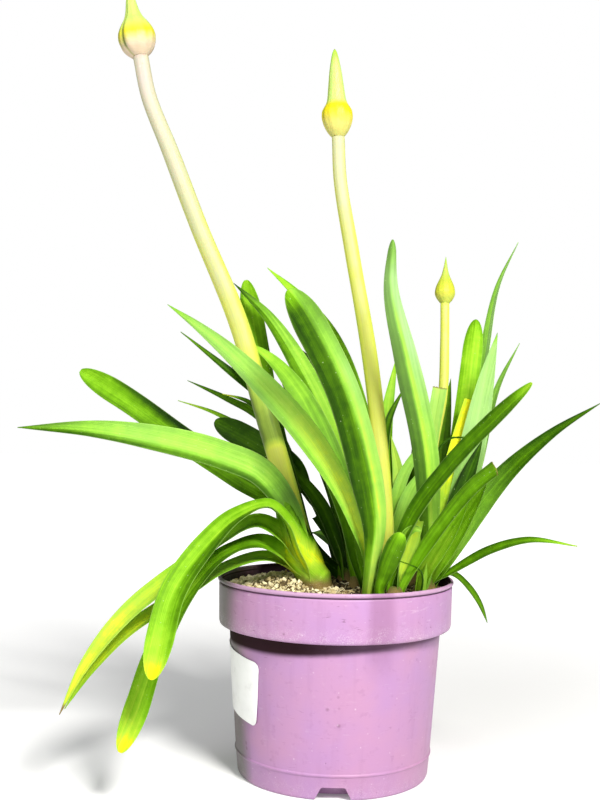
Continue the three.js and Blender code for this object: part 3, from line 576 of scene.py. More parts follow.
        "neck": [(61, -32, 112, 9, 8.5), (61, -32, 130, 10, 9), (62, -33, 143, 9, 8), (64, -34, 155, 5, 5)],
        "stems": [{"path": [(64, -30, 124), (64, -34, 170), (65, -38, 212), (69, -39, 233), (76, -40, 240),
                            (84, -41, 241), (94, -42, 240)],
                   "radii": [1, 0.9, 0.8, 0.75, 0.7, 0.65, 0.5], "tone": 0.14}],
        "leaves": {
            "tallUpright": {
                "width": 18, "turn": (10, 15), "hollow": -0.4, "tip": "drawn", "streak": 0.22,
                "tone": [(0, 0.7), (0.15, 0.44, 0.68), (0.35, 0.32, 0.64), (0.85, 0.32, 0.54), (1, 0.34)],
                "pale": [(0, 0, 0.2), (0.15, 0.05, 0.2), (0.35, 0.1, 0.25), (0.7, 0.4, 0.66),
                         (0.9, 0.5, 0.6), (1, 0.3, 0.3)],
                "path": [(59, -36, 136), (63, -38, 163), (62, -41, 197), (58, -45, 235), (44, -53, 292),
                         (32, -60, 340), (32, -66, 373)]},
            "longArching": {
                "width": 20, "turn": (20, 40), "hollow": 0.3, "tip": "slender",
                "tone": [(0, 0.66), (0.2, 0.6, 0.66), (0.4, 0.5, 0.58), (0.6, 0.28, 0.34), (0.8, 0.22),
                         (1, 0.22)],
                "pale": [(0.05, 0), (0.2, 0.25), (0.4, 0.15), (0.6, 0)],
                "path": [(64, -29, 137), (75, -31, 156), (92, -40, 188), (114, -53, 219), (140, -68, 245),
                         (167, -86, 265)]},
            "innerRight": {
                "width": 15, "turn": (25, 25), "hollow": 0.25,
                "tone": [(0, 0.74), (0.4, 0.62), (1, 0.46)],
                "path": [(62, -34, 137), (70, -39, 156), (83, -51, 185), (97, -70, 212)]},
            "innerLeft": {
                "width": 14, "turn": (20, 25),
                "tone": [(0, 0.84), (0.4, 0.66), (1, 0.46)],
                "path": [(58, -38, 136), (61, -43, 152), (72, -51, 174), (86, -62, 199)]},
            "lowArching": {
                "width": 9, "turn": (55, 70),
                "tone": [(0, 0.42), (0.4, 0.36), (0.7, 0.44), (0.88, 0.7), (1, 0.84)],
                "path": [(65, -31, 138), (80, -32, 148), (104, -43, 164), (128, -58, 173),
                         (155, -78, 171.5)]},
        },
    },
    "middle": {
        "neck": [(38, 13, 112, 6.5, 9), (38, 13, 130, 7, 9.5), (38, 13, 143, 6, 8.5),
                 (39, 14, 153, 3.5, 5)],
        "leaves": {
            "narrowPale": {
                "width": 11, "turn": (10, 10),
                "tone": [(0, 0.6), (0.5, 0.84), (1, 0.84)],
                "pale": [(0.4, 0), (0.6, 0.3), (1, 0.3)],
                "path": [(40, 14, 136), (47, 18, 164), (48, 31, 209), (43, 46, 241)]},
            "brightTip": {
                "width": 12, "turn": (15, 15),
                "tone": [(0, 0.5), (0.6, 0.6), (0.9, 0.74), (1, 0.5)],
                "pale": [(0.6, 0), (0.8, 0.2), (1, 0)],
                "path": [(38, 18, 136), (38, 26, 178), (39, 52, 246), (50, 86, 306)]},
            "darkSlant": {
                "width": 9, "turn": (30, 30),
                "tone": [(0, 0.2), (0.6, 0.24), (0.9, 0.26), (1, 0.3)],
                "path": [(36, 15, 136), (34, 20, 178), (40, 48, 249), (55, 66, 281)]},
            "slanting": {
                "width": 10, "turn": (30, 30),
                "tone": [(0, 0.5), (0.6, 0.68), (1, 0.6)],
                "pale": [(0.3, 0.1), (0.6, 0.4), (1, 0.3)],
                "path": [(38, 10, 136), (40, 11, 172), (51, 27, 211), (75, 50, 245)]},
            "lowSlanting": {
                "width": 12, "turn": (20, 25),
                "tone": [(0, 0.6), (0.6, 0.68), (1, 0.6)],
                "pale": [(0.3, 0.1), (0.6, 0.4), (1, 0.3)],
                "path": [(40, 8, 136), (44, 6, 165), (55, 12, 200), (70, 20, 222)]},
        },
    },
    "rear": {
        "neck": [(61, 12, 112, 10, 11), (61, 12, 130, 11, 12), (63, 12, 143, 10, 11), (67, 13, 155, 5, 6)],
        "leaves": {
            "broadPale": {
                "width": 19.5, "turn": (10, 15), "hollow": 0.15,
                "tone": [(0, 0.6), (0.5, 0.6), (0.8, 0.66), (0.97, 0.62), (1, 0.36)],
                "pale": [(0, 0.1), (0.3, 0.4), (0.6, 0.6), (0.95, 0.55), (1, 0.1)],
                "path": [(66, 6, 137), (82, 6, 162), (94, 10, 202), (102, 15, 239), (112, 22, 285),
                         (121, 28, 321)]},
            "bluntLime": {
                "width": 16, "turn": (15, 10), "hollow": -0.25, "tip": "round",
                "tone": [(0, 0.4), (0.4, 0.44), (0.55, 0.62), (0.85, 0.7), (1, 0.56)],
                "path": [(65, 14, 137), (80, 17, 164), (90, 29, 209), (99, 47, 254), (108, 68, 303),
                         (114, 84, 337)]},
            "yellowStrip": {
                "width": 9, "turn": (15, 15), "hollow": 0.1, "tip": "cut",
                "tone": [(0, 0.6), (0.45, 0.8), (0.55, 0.99), (1, 1)],
                "path": [(60, 8, 137), (73, 9, 172), (83, 16, 213), (91, 24, 239), (102, 34, 270)]},
            "tallThin": {
                "width": 11, "turn": (40, 62), "hollow": 0.3,
                "tone": [(0, 0.5), (0.5, 0.56), (0.8, 0.56), (1, 0.4)],
                "pale": [(0.3, 0), (0.5, 0.3, 0.5), (0.95, 0.3, 0.6)],
                "path": [(68, 15, 137), (88, 21, 164), (102, 38, 224), (116, 67, 295), (133, 98, 364),
                         (155, 120, 408)]},
            "thinRight": {
                "width": 8, "turn": (45, 50),
                "tone": [(0, 0.44), (0.6, 0.5), (1, 0.42)],
                "pale": [(0.4, 0), (0.6, 0.35), (1, 0.3)],
                "path": [(67, 17, 137), (94, 27, 164), (111, 46, 220), (130, 76, 280), (153, 100, 320)]},
            "behindRightStalk": {
                "width": 14, "turn": (10, 10),
                "tone": [(0, 0.3), (0.4, 0.34), (0.8, 0.4), (1, 0.46)],
                "path": [(58, 18, 137), (72, 32, 174), (81, 56, 207), (88, 74, 247), (95, 90, 289)]},
            "cutBehind": {
                "width": 11, "turn": (10, 10), "tip": "cut",
                "tone": [(0, 0.6), (0.5, 0.7), (0.9, 0.78), (1, 0.86)],
                "dry": [(0.985, 0), (0.995, 0.55), (1, 0.6)],
                "pale": [(0.4, 0), (0.6, 0.4), (1, 0.5)],
                "path": [(54, 13, 137), (64, 17, 171), (68, 25, 208), (73, 31, 246), (79, 36, 279)]},
            "lowDark": {
                "width": 15, "turn": (20, 20),
                "tone": [(0, 0.2), (0.5, 0.14), (1, 0.16)],
                "path": [(66, 3, 137), (80, 0, 166), (89, 1, 195), (97, 4, 216), (107, 8, 239)]},
            "overRim": {
                "width": 8, "turn": (75, 40),
                "tone": [(0, 0.4), (0.6, 0.38), (1, 0.4)],
                "path": [(66, 6, 139), (79, 6, 142), (88, 7, 140.5), (98.5, 9, 131.5), (107.5, 12, 119),
                         (114, 16, 104)]},
        },
    },
    "far": {
        "neck": [(22, 46, 112, 9, 8), (22, 46, 130, 10, 9), (21, 48, 143, 8, 8), (19, 52, 154, 4, 5)],
        "leaves": {
            "archingBack": {
                "width": 20, "turn": (-75, -85), "hollow": 0.25, "tip": "round", "sight": "side",
                "tone": [(0, 0.6), (0.4, 0.46), (0.9, 0.5), (1, 0.7)],
                "path": [(22, 48, 137), (18, 62, 172), (8, 90, 218), (-4, 128, 242), (-16, 168, 236)]},
            "archingRight": {
                "width": 19, "turn": (-75, -85), "hollow": 0.25, "sight": "side",
                "tone": [(0, 0.6), (0.4, 0.5), (0.9, 0.48), (1, 0.6)],
                "path": [(24, 49, 137), (28, 66, 166), (34, 100, 196), (38, 140, 194), (40, 172, 166)]},
            "archingLeft": {
                "width": 17, "turn": (-80, -80), "sight": "side",
                "tone": [(0, 0.6), (0.4, 0.42), (1, 0.5)],
                "path": [(20, 50, 137), (8, 64, 151), (-8, 96, 162), (-26, 126, 154), (-38, 146, 130)]},
            "leaningLeft": {
                "width": 17, "turn": (-80, -72), "hollow": 0.25,
                "tone": [(0, 0.4), (0.5, 0.36), (1, 0.5)],
                "path": [(18, 46, 137), (9, 56, 157), (-14, 72, 187), (-44, 88, 214), (-80, 104, 230)]},
            "uprightFar": {
                "width": 15, "turn": (0, 10), "tip": "round",
                "tone": [(0, 0.5), (0.5, 0.44), (1, 0.5)],
                "path": [(23, 48, 137), (24, 58, 180), (20, 72, 236), (12, 84, 290)]},
        },
    },
    "far_right": {
        "neck": [(52, 42, 112, 8, 7), (52, 42, 130, 8.5, 7.5), (53, 44, 143, 7, 7), (54, 48, 153, 4, 4)],
        "leaves": {
            "archingFar": {
                "width": 19, "turn": (-70, -80), "hollow": 0.25, "sight": "side",
                "tone": [(0, 0.6), (0.4, 0.48), (0.9, 0.5), (1, 0.66)],
                "path": [(53, 45, 137), (58, 62, 172), (68, 96, 216), (80, 136, 226), (90, 170, 206)]},
            "outerArch": {
                "width": 18, "turn": (-60, -75), "hollow": 0.25, "sight": "side",
                "tone": [(0, 0.6), (0.4, 0.44), (1, 0.56)],
                "path": [(55, 44, 137), (66, 58, 162), (86, 88, 188), (108, 120, 192), (124, 144, 176)]},
            "lowArch": {
                "width": 16, "turn": (-75, -80), "tip": "round", "sight": "side",
                "tone": [(0, 0.6), (0.4, 0.5), (0.9, 0.6), (1, 0.9)],
                "dry": [(0.95, 0), (1, 0.8)],
                "path": [(51, 45, 137), (52, 62, 160), (58, 90, 178), (66, 122, 170), (72, 148, 142)]},
            "slimUpright": {
                "width": 13, "turn": (20, 20),
                "tone": [(0, 0.4), (0.6, 0.44), (1, 0.5)],
                "path": [(53, 42, 137), (60, 54, 172), (68, 76, 228), (70, 98, 280)]},
        },
    },
}

leafLook = {
    "palette": [(0.0, "#0a2606"), (0.2, "#2b5204"), (0.38, "#4e7c06"), (0.52, "#6aa20e"), (0.66, "#8ac122"),
                (0.82, "#abcf34"), (0.92, "#c8e024"), (1.0, "#f2ea1c")],
    # pale and palest are the colours of the painted highlight
    "pale": "#9ac86c", "palest": "#c0dcb2", "margin": "#bcdc7c", "specks": "#d3e6a8", "glow": "#9ad61a",
    "dryPalette": [(0.0, "#4a3a28"), (0.5, "#86703f"), (1.0, "#a99a78")],
    "veinSpacing": 0.001, "through": 0.2,
    "hollow": 0.2, "tip": "point",   # where a leaf gives none of its own
    "edge": 0.45, "rib": 1.2,        # thickness at the edge and along the middle, mm
    "step": 3.2, "tipZone": 14,      # distance between sections, and the finer stretch at the tip, mm
    "fewest": 18, "tipSections": 12,
    "columns": [-1, -0.95, -0.83, -0.64, -0.42, -0.2, -0.06, 0.06, 0.2, 0.42, 0.64, 0.83, 0.95, 1],
    "footFold": (0.95, 0.26),        # how far the foot folds round the next leaf, and how far up
    "crease": (0.28, 0.09),          # depth of the middle groove in mm, and its width across
    "thinning": (1.3, 0.6, 0.6),     # thickness at the foot, what it loses along the leaf, and the least
    "wave": 0.34, "torn": 0.8,       # ripple of the edges and raggedness of a cut end, mm
    "waveFrom": (0.1, 0.5), "waveHalf": 9,       # where the ripple sets in, and the half width it is for
    "opening": (0.56, 0.4),          # share of the width at the foot, and how far up it is the full width
    "soften": 0.22,                  # how softly the two halves meet
    "streak": (0.14, 0.15),          # where the brighter streak lies beside their border, and its width
    "streakSpan": ((0.12, 0.3), (0.7, 0.92)), "streakClears": 2.5,
    "narrowed": 0.985,               # how much of its width a tip loses
    # where the tip starts to narrow, how bluntly it does, and whether it is rounded
    "tips": {"point": (0.5, 1.9, False), "slender": (0.25, 1.25, False), "round": (0.86, 2, True),
             "oval": (0.74, 2, True), "drawn": (0.965, 2, True)},
    "drawnIn": (0.58, 0.76, 1.4),    # a drawn tip narrows from here on, by this share and with this bend
    "root": (0.4, 121),              # how near the heart a leaf starts inside its neck, and at what height
}


def makeLeafMaterial():
    look = leafLook
    material, tree, shader = newMaterial("strapLeaf", Specular_IOR_Level=0.2,
                                         Specular_Tint=(0.75, 0.95, 0.4, 1))
    place = readValue(tree, "place", "Vector")
    tone, pale, dry, edge = (readValue(tree, name) for name in ("tone", "pale", "dry", "edge"))
    vein = useGroup(tree, veins, Place=place, Spacing=look["veinSpacing"])
    uneven = useGroup(tree, mottle, Place=place, Size=0.02)
    blotch = useGroup(tree, mottle, Place=place, Size=0.006)
    dust = useGroup(tree, specks, Place=place, Cell=0.0024, Share=0.4)["Mask"]
    across = mathNode(tree, "ABSOLUTE", addNode(tree, "ShaderNodeSeparateXYZ", {0: place}).outputs[0])
    midrib = product(tree, ease(tree, across, 0.0002, 0.0013, 0.1, 0.0),
                     mathNode(tree, "SUBTRACT", 1.05, tone))
    # painted shade darkens the blade a little towards both edges
    level = mathNode(tree, "ADD", mathNode(tree, "ADD", tone, midrib), ease(tree, edge, 0.5, 0.8, 0.0, -0.1))
    for value, amount in ((uneven["Broad"], 0.26), (blotch["Broad"], 0.2), (vein["Soft"], 0.4)):
        level = stir(tree, level, value, amount)
    level = scaled(tree, vein["Line"], -0.06, level, clamp=True)
    green = rampNode(tree, level, look["palette"])
    # painted highlight: paleness washes the green towards whitish green
    washed = mathNode(tree, "MULTIPLY", pale, scaled(tree, vein["Soft"], 0.8, 0.6), clamp=True)
    paleAndLit = blendColour(tree, ease(tree, pale, 0.35, 0.85), tint(look["pale"]), tint(look["palest"]))
    green = blendColour(tree, washed, green, paleAndLit)
    green = layOver(tree, green, ease(tree, edge, 0.93, 0.99, 0.0, 0.22), look["margin"])
    withered = rampNode(tree, blotch["Fine"], look["dryPalette"])
    ragged = scaled(tree, blotch["Broad"], 0.6, -0.3)
    dried = ease(tree, mathNode(tree, "ADD", dry, product(tree, ragged, dry)), 0.25, 0.75)
    colour = blendColour(tree, dried, green, withered)
    dusty = product(tree, dust, ease(tree, uneven["Broad"], 0.35, 0.65, 0.2, 0.75))
    colour = layOver(tree, colour, dusty, look["specks"])
    rough = scaled(tree, blotch["Broad"], 0.15, scaled(tree, vein["Soft"], 0.22, 0.32))
    height = scaled(tree, blotch["Fine"], 0.35, product(tree, vein["Line"], 0.3))
    normal = dress(tree, shader, colour, scaled(tree, dried, 0.3, rough),
                   scaled(tree, vein["Soft"], 1.1, height), 0.55, 0.0004)
    through = addNode(tree, "ShaderNodeBsdfTranslucent",
                      {"Color": blendColour(tree, 0.5, colour, tint(look["glow"])), "Normal": normal})
    mixed = addNode(tree, "ShaderNodeMixShader",
                    {0: look["through"], 1: shader.outputs[0], 2: through.outputs[0]})
    tree.links.new(mixed.outputs[0], tree.get_output_node("ALL").inputs["Surface"])
    return material


def leafOutline(t, tip, opening):
    # half width of a leaf along its length, as a share of its full half width
    opened = opening[0] + (1 - opening[0]) * smoothStep(t, 0, opening[1])
    if tip == "cut":
        return opened
    if tip == "drawn":
        start, loss, power = leafLook["drawnIn"]
        opened = opened * (1 - loss * np.clip((t - start) / (1 - start), 0, 1) ** power)
    start, power, rounded = leafLook["tips"][tip]
    kept = 1 - leafLook["narrowed"] * np.clip((t - start) / (1 - start), 0, 1) ** power
    return opened * (np.sqrt(kept) if rounded else kept)


def alongKeys(keys, t):
    # keys are (share, value) or (share, left value, right value); two columns come back
    rows = np.array([(key[0], key[1], key[-1]) for key in keys], float)
    return [np.interp(t, rows[:, 0], rows[:, k])[:, None] for k in (1, 2)]


def leafFrame(route, way, t):
    # the directions across the blade and out of its back, turned as the leaf says
    view = (1, 0, 0) if route.get("sight") == "side" else (0, 1, 0)
    flat = np.cross(way, view)
    flat /= np.linalg.norm(flat, axis=1)[:, None]
    deep = np.cross(flat, way)
    keys = route["turn"] if isinstance(route["turn"], list) else list(enumerate(route["turn"]))
    turn = np.radians(alongKeys(keys, t)[0])
    across = np.cos(turn) * flat + np.sin(turn) * deep
    return across, np.cross(across, way)


def leafLift(route, t, half, seed):
    # how far each point lies out of the flat, for the lower and the upper face
    look = leafLook
    s = np.array(look["columns"])
    own = route.get("hollow", look["hollow"])
    sign = 1 if own >= 0 else -1
    fold, foldEnd = look["footFold"]
    hollow = own + fold * (1 - smoothStep(t, 0, foldEnd)) * sign * (1 - abs(own))
    full, loss, least = look["thinning"]
    thinner = np.clip(full - loss * t, least, full)[:, None]
    thick = thinner * (look["edge"] + (look["rib"] - look["edge"]) * (1 - np.abs(s)) ** 1.2)
    crease = look["crease"][0] * bell(s, look["crease"][1]) * sign
    depth = (hollow * half)[:, None] * (1 - np.abs(s) ** 1.3)
    ripple = look["wave"] * (smoothStep(t, *look["waveFrom"]) * half / look["waveHalf"])[:, None] * s ** 2
    sides = [wander(t * 1.7, seed + k)[:, None] for k in (0, 1)]
    level = depth + ripple * np.where(s < 0, *sides) + crease
    return np.concatenate([level - thick / 2, (level + thick / 2)[:, ::-1]], axis=1)


def leafTones(route, t, order):
    # the tone and the paleness at each point, from those of the two halves of the blade, with their painted
    # shade and painted highlight
    look = leafLook
    aside = order[None, :] - alongKeys(route.get("split", [(0, 0)]), t)[0]
    side = smoothStep(aside, -look["soften"], look["soften"])
    beside, width = look["streak"]
    streak = route.get("streak", 0) * bell(aside + beside, width) * within(t, *look["streakSpan"])
    left, right = alongKeys(route["tone"], t)
    tone = right + (left - right) * side + streak
    left, right = alongKeys(route.get("pale", [(0, 0)]), t)
    pale = (right + (left - right) * side) * (1 - look["streakClears"] * streak).clip(0)
    return tone.ravel(), pale.ravel()


def leafSkin(route, foot, seed):
    look = leafLook
    tip = route.get("tip", look["tip"])
    _, own = evenPath(route["path"])
    even, length = evenPath([foot] + route["path"])
    zone = 1 - look["tipZone"] / length
    sections = max(look["fewest"], int(length / look["step"]))
    run = np.concatenate([np.linspace(0, zone, sections, endpoint=False),
                          zone + (1 - zone) * np.sin(np.linspace(0, math.pi / 2, look["tipSections"]))])
    at, way = alongPath(even, run)
    t = (run * length - (length - own)) / own        # 0 where the leaf leaves the neck, below it inside
    across, back = leafFrame(route, way, t)
    half = route["width"] / 2 * leafOutline(t, tip, route.get("opening", look["opening"]))
    s = np.array(look["columns"])
    rows, columns = len(t), 2 * len(s)
    order = np.concatenate([s, s[::-1]])
    lift = leafLift(route, t, half, seed)
    points = (at[:, None] + across[:, None] * (half[:, None] * order)[..., None]
              + back[:, None] * lift[..., None])
    if tip == "cut":
        torn = look["torn"] * wander(order * 2.1, seed + 5, ((1, 1), (3.1, 0.8), (7.3, 0.6)))
        points[-1] += way[-1] * torn[:, None]
    faces = gridFaces(rows, columns)
    for row in (0, rows - 1):
        a = row * columns
        faces += [(a + k, a + k + 1, a + columns - 2 - k, a + columns - 1 - k) for k in range(len(s) - 1)]
    tone, pale = leafTones(route, t, order)
    place = placeValues(half[:, None] * order, np.repeat(t * own, columns), seed * seedStep)
    return {"points": points.reshape(-1, 3), "faces": faces,
            "values": {"place": place, "tone": tone, "pale": pale,
                       "dry": np.repeat(alongKeys(route.get("dry", [(0, 0)]), t)[0].ravel(), columns),
                       "edge": np.tile(np.abs(order), rows)}}


neckLook = {
    "sides": 72, "step": 1.0,
    # how much each sheath stands out, how far its rim slants, the first rim's height, and the next one's step
    "sheath": 0.07, "slant": 34, "first": 146, "pitch": 11.5, "sheaths": 6,
    "keep": 0.6, "lower": 11,        # how much of the neck shows where the leaves themselves make it up
    "narrows": (126, 140), "cap": (6, 6.6),      # from where to where it narrows, and its rounded top, mm
    "rimEase": 1.6, "rimLight": (0.04, 0.8, 1.3), "sheathShade": 0.12, "rightSide": (0.4, 0.95),
    "tone": [(112, 0.4), (131, 0.46), (140, 0.68), (152, 0.95), (164, 0.92), (178, 0.56), (200, 0.28)],
    "dry": [(112, 1.0), (130, 0.95), (136, 0.7), (142, 0.4), (149, 0.1), (156, 0)],
    "hidden": 0.4,                   # painted shade: how much darker a neck among leaves is
    "shade": (0.5, 156, 176),        # how much darker the right side is, from one height to the other
}


def neckSkin(neck, keep, seed):
    # the overlapping leaf bases: each sheath ends in a slanting edge, turned to the other side from the last
    look = neckLook
    n = np.array(neck, float)
    top = n[-1, 2] - (0 if keep == 1 else look["lower"])
    z = np.arange(n[0, 2], top, look["step"])
    x, y, a, b = (np.interp(z, n[:, 2], n[:, k])[:, None] for k in (0, 1, 3, 4))
    capTall, capWide = look["cap"]
    dome = np.sqrt(np.clip(1 - ((z - top + capTall) / capWide).clip(0) ** 2, 0.02, 1))[:, None]
    shrink = 1 - (1 - keep) * smoothStep(z, *look["narrows"])[:, None]
    angle = roundAngles(look["sides"])[None, :]
    draw = random.Random(seed)
    light, below, wide = look["rimLight"]
    lift, rims = 0 * z[:, None] * angle, 0 * z[:, None] * angle
    for k in range(look["sheaths"]):
        toward = math.pi * (k % 2) + draw.uniform(-0.5, 0.5)
        rim = look["first"] + look["pitch"] * k - look["slant"] * (0.5 - 0.5 * np.cos(angle - toward))
        lift = lift + look["sheath"] * smoothStep(rim - z[:, None], 0, look["rimEase"])
        rims = rims + bell(z[:, None] - rim + below, wide)
    r = dome * shrink * (1 + lift - 0.5 * lift.max())
    points = np.stack([x + a * r * np.cos(angle), y + b * r * np.sin(angle), z[:, None] + 0 * angle], 2)
    rows, sides = points.shape[:2]
    darker, low, high = look["shade"]
    tone = np.interp(z, *np.array(look["tone"]).T)[:, None]
    tone = tone + light * rims.clip(0, 1) - look["sheathShade"] * lift - look["hidden"] * (keep < 1)
    aside = smoothStep(np.cos(angle), *look["rightSide"])
    tone = tone - darker * aside * smoothStep(z, low, high)[:, None]
    dry = np.interp(z, *np.array(look["dry"]).T)[:, None] + 0 * angle
    none = np.zeros(rows * sides)
    return {"points": points.reshape(-1, 3), "faces": closedTube(rows, sides),
            "values": {"place": placeValues(a * angle, np.repeat(z, sides), seed * seedStep),
                       "tone": tone.ravel(), "pale": none, "dry": dry.ravel(), "edge": none}}


def stemSkin(stem, seed):
    # a thin bare stem, with the values that the leaf material reads
    skin = tubeSkin(stem["path"], stem["radii"], sides=8, seed=seed)
    share = skin["values"].pop("share")
    none = np.zeros(len(share))
    skin["values"].update({"tone": stem["tone"] + 0.1 * share, "pale": none, "dry": none, "edge": none})
    return skin


leafMaterial = makeLeafMaterial()
nearHeart, rootHeight = leafLook["root"]
for number, (shootName, shoot) in enumerate(shootRoutes.items()):
    skins = [neckSkin(shoot["neck"], shoot.get("neckKeep", neckLook["keep"]), 100 + number)]
    heart = np.array(shoot["neck"][1][:2])
    for k, route in enumerate(shoot["leaves"].values()):
        foot = heart + nearHeart * (np.array(route["path"][0][:2]) - heart)
        skins.append(leafSkin(route, (foot[0], foot[1], rootHeight), 10 * number + k))
    skins += [stemSkin(stem, 60 + number) for stem in shoot.get("stems", [])]
    piece = makePiece("leaves_" + shootName, joinSkins(skins), leafMaterial)
    fit(piece, "leaves", "shoot_" + shootName)
print("grew the leaves")

potLook = {
    "segments": 176, "corner": 0.45, "sharp": 34,
    # radius and height in mm, from the foot up the outside, over the lip, and down the inside
    "profile": [(65.8, 0), (67, 0), (68, 0.8), (68.4, 2.2), (69.7, 15.6), (70.5, 16.2), (70.5, 17.2),
                (69.9, 17.8), (76, 101.5), (76.4, 103.2), (77.6, 104.4), (81.6, 104.5), (83.2, 105.4),
                (83.7, 107.2), (84.3, 133.6), (83.6, 134.4), (83.6, 135.2), (85, 135.8), (85.3, 137),
                (84.9, 138), (84, 138.3), (82.8, 138), (82.4, 137.2), (81.9, 108.5), (81.2, 106.8),
                (79.6, 106.4), (75, 106.2), (74.2, 103.5), (68.1, 17.8), (66, 11.8), (57, 11.8), (55.6, 10),
                (55.4, 2.8), (0, 2.8), (0, 1), (57.2, 1), (57.6, 9.2), (58.4, 10), (64.8, 10), (65.8, 9.2)],
    "wall": ((17.8, 69.9), (101.5, 76)),                      # height and radius of the body, mm
    "wallMiddle": [(17.8, 102, 106, 134, 136.5, 138.3), (69, 75, 81.6, 83, 83.6, 83.4)],
    "notch": {"count": 4, "foot": 25, "top": 14, "height": 9, "aside": -1.5, "inner": 60, "outer": 74},
    "drain": {"count": 6, "ring": 61.5, "radius": 3, "sides": 28, "low": 7, "high": 14},
    "colour": "#a67da9", "faded": "#ad80a2", "shaded": "#8f6488", "lip": "#b390ab",
    "dust": "#d8cdd4", "grimeAndShade": "#210f0b", "rub": "#60394f", "edgeReflection": "#4c563e",
    # heights in metres, where each of these starts and where it is full
    "lipBand": (0.1346, 0.1362), "collarBand": (0.102, 0.106), "collarFilm": (0.119, 0.106),
    "footFilm": (0.02, 0.0), "splash": (0.1335, 0.1255), "grooveFoot": (0.134, 0.1345),
    "grooveTop": (0.1357, 0.1353), "grooveReach": (0.0842, 0.0837), "step": (0.1046, 0.1042),
}


def roundCorners(profile, reach):
    # a closed profile with each clear corner eased into a short curve
    rounded = []
    for k, corner in enumerate(profile):
        here = np.array(corner, float)
        before, after = np.array(profile[k - 1], float), np.array(profile[(k + 1) % len(profile)], float)
        toBefore, toAfter = before - here, after - here
        one, two = np.linalg.norm(toBefore), np.linalg.norm(toAfter)
        bend = math.degrees(math.acos(np.clip(-(toBefore @ toAfter) / (one * two), -1, 1)))
        if here[0] == 0 or bend < 8:
            rounded.append(here)
            continue
        a, b = here + toBefore / one * min(reach, 0.38 * one), here + toAfter / two * min(reach, 0.38 * two)
        rounded += [a, (a + 2 * here + b) / 4, b]
    return rounded


def latheSkin(profile, segments):
    # turns a closed profile round the Z axis; a point on the axis stays single
    points, rings = [], []
    for radius, height in profile:
        count = segments if radius > 0 else 1
        rings.append((len(points), count))
        points += [(radius * math.cos(fullTurn * k / count), radius * math.sin(fullTurn * k / count), height)
                   for k in range(count)]
    faces = []
    for (a, many), (b, more) in zip(rings, rings[1:] + rings[:1]):
        if many == more == 1:
            continue
        for k in range(segments):
            j = (k + 1) % segments
            if many == 1:
                faces.append((a, b + k, b + j))
            elif more == 1:
                faces.append((a + k, a + j, b))
            else:
                faces.append((a + k, a + j, b + j, b + k))
    return {"points": np.array(points), "faces": faces, "values": {}}


def prismSkin(outline, low, high):
    # a straight prism: the same outline round a point at one end and at the other
    count = len(outline)
    points = [tuple(end + np.array(p)) for end in (low, high) for p in outline]
    faces = [(k, (k + 1) % count, count + (k + 1) % count, count + k) for k in range(count)]
    faces += [tuple(range(count)), tuple(range(count, 2 * count))]
    return {"points": np.array(points), "faces": faces, "values": {}}


def cutAway(piece, skins):
    # takes the skins out of the piece, and keeps the result as its mesh
    cutter = makePiece("cutter", joinSkins(skins), piece.data.materials[0])
    cut = piece.modifiers.new("openings", "BOOLEAN")
    cut.object, cut.operation, cut.solver = cutter, "DIFFERENCE", "EXACT"
    bpy.context.view_layer.update()
    result = bpy.data.meshes.new_from_object(piece.evaluated_get(bpy.context.evaluated_depsgraph_get()))
    piece.modifiers.clear()
    old, piece.data = piece.data, result
    bpy.data.meshes.remove(old)
    bpy.data.meshes.remove(cutter.data)


def markInside(mesh):
    # 1 at the points of the wall's inside, 0 on its outside and under the foot
    at = np.array([v.co for v in mesh.vertices]) / mm
    middle = np.interp(at[:, 2], *potLook["wallMiddle"])
    inside = (np.hypot(at[:, 0], at[:, 1]) < middle) & (at[:, 2] > 11)
    mesh.attributes.new("within", "FLOAT", "POINT").data.foreach_set("value", inside.astype(np.float32))


def potOpenings():
    look, drain = potLook["notch"], potLook["drain"]
    wide, narrow, tall = look["foot"] / 2, look["top"] / 2, look["height"]
    slope = (wide - narrow) / tall
    half = [(wide + slope, 0, -1), (narrow + 1.2, 0, tall - 0.6), (narrow, 0, tall)]
    outline = [(-half[0][0], 0, -1)] + half + [(-x, 0, z) for x, _, z in half[:0:-1]]
    skins = []
    for k in range(look["count"]):
        turn = np.array(Matrix.Rotation(fullTurn * k / look["count"], 3, "Z"))
        skin = prismSkin(outline, np.array((look["aside"], -look["outer"], 0)),
                         np.array((look["aside"], -look["inner"], 0)))
        skin["points"] = skin["points"] @ turn.T
        skins.append(skin)
    ring = [(drain["radius"] * math.cos(a), drain["radius"] * math.sin(a), 0)
            for a in roundAngles(drain["sides"])]
    for k in range(drain["count"]):
        angle = fullTurn * (k + 0.5) / drain["count"]
        centre = drain["ring"] * np.array((math.cos(angle), math.sin(angle), 0))
        skins.append(prismSkin(ring, centre + (0, 0, drain["low"]), centre + (0, 0, drain["high"])))
    return skins


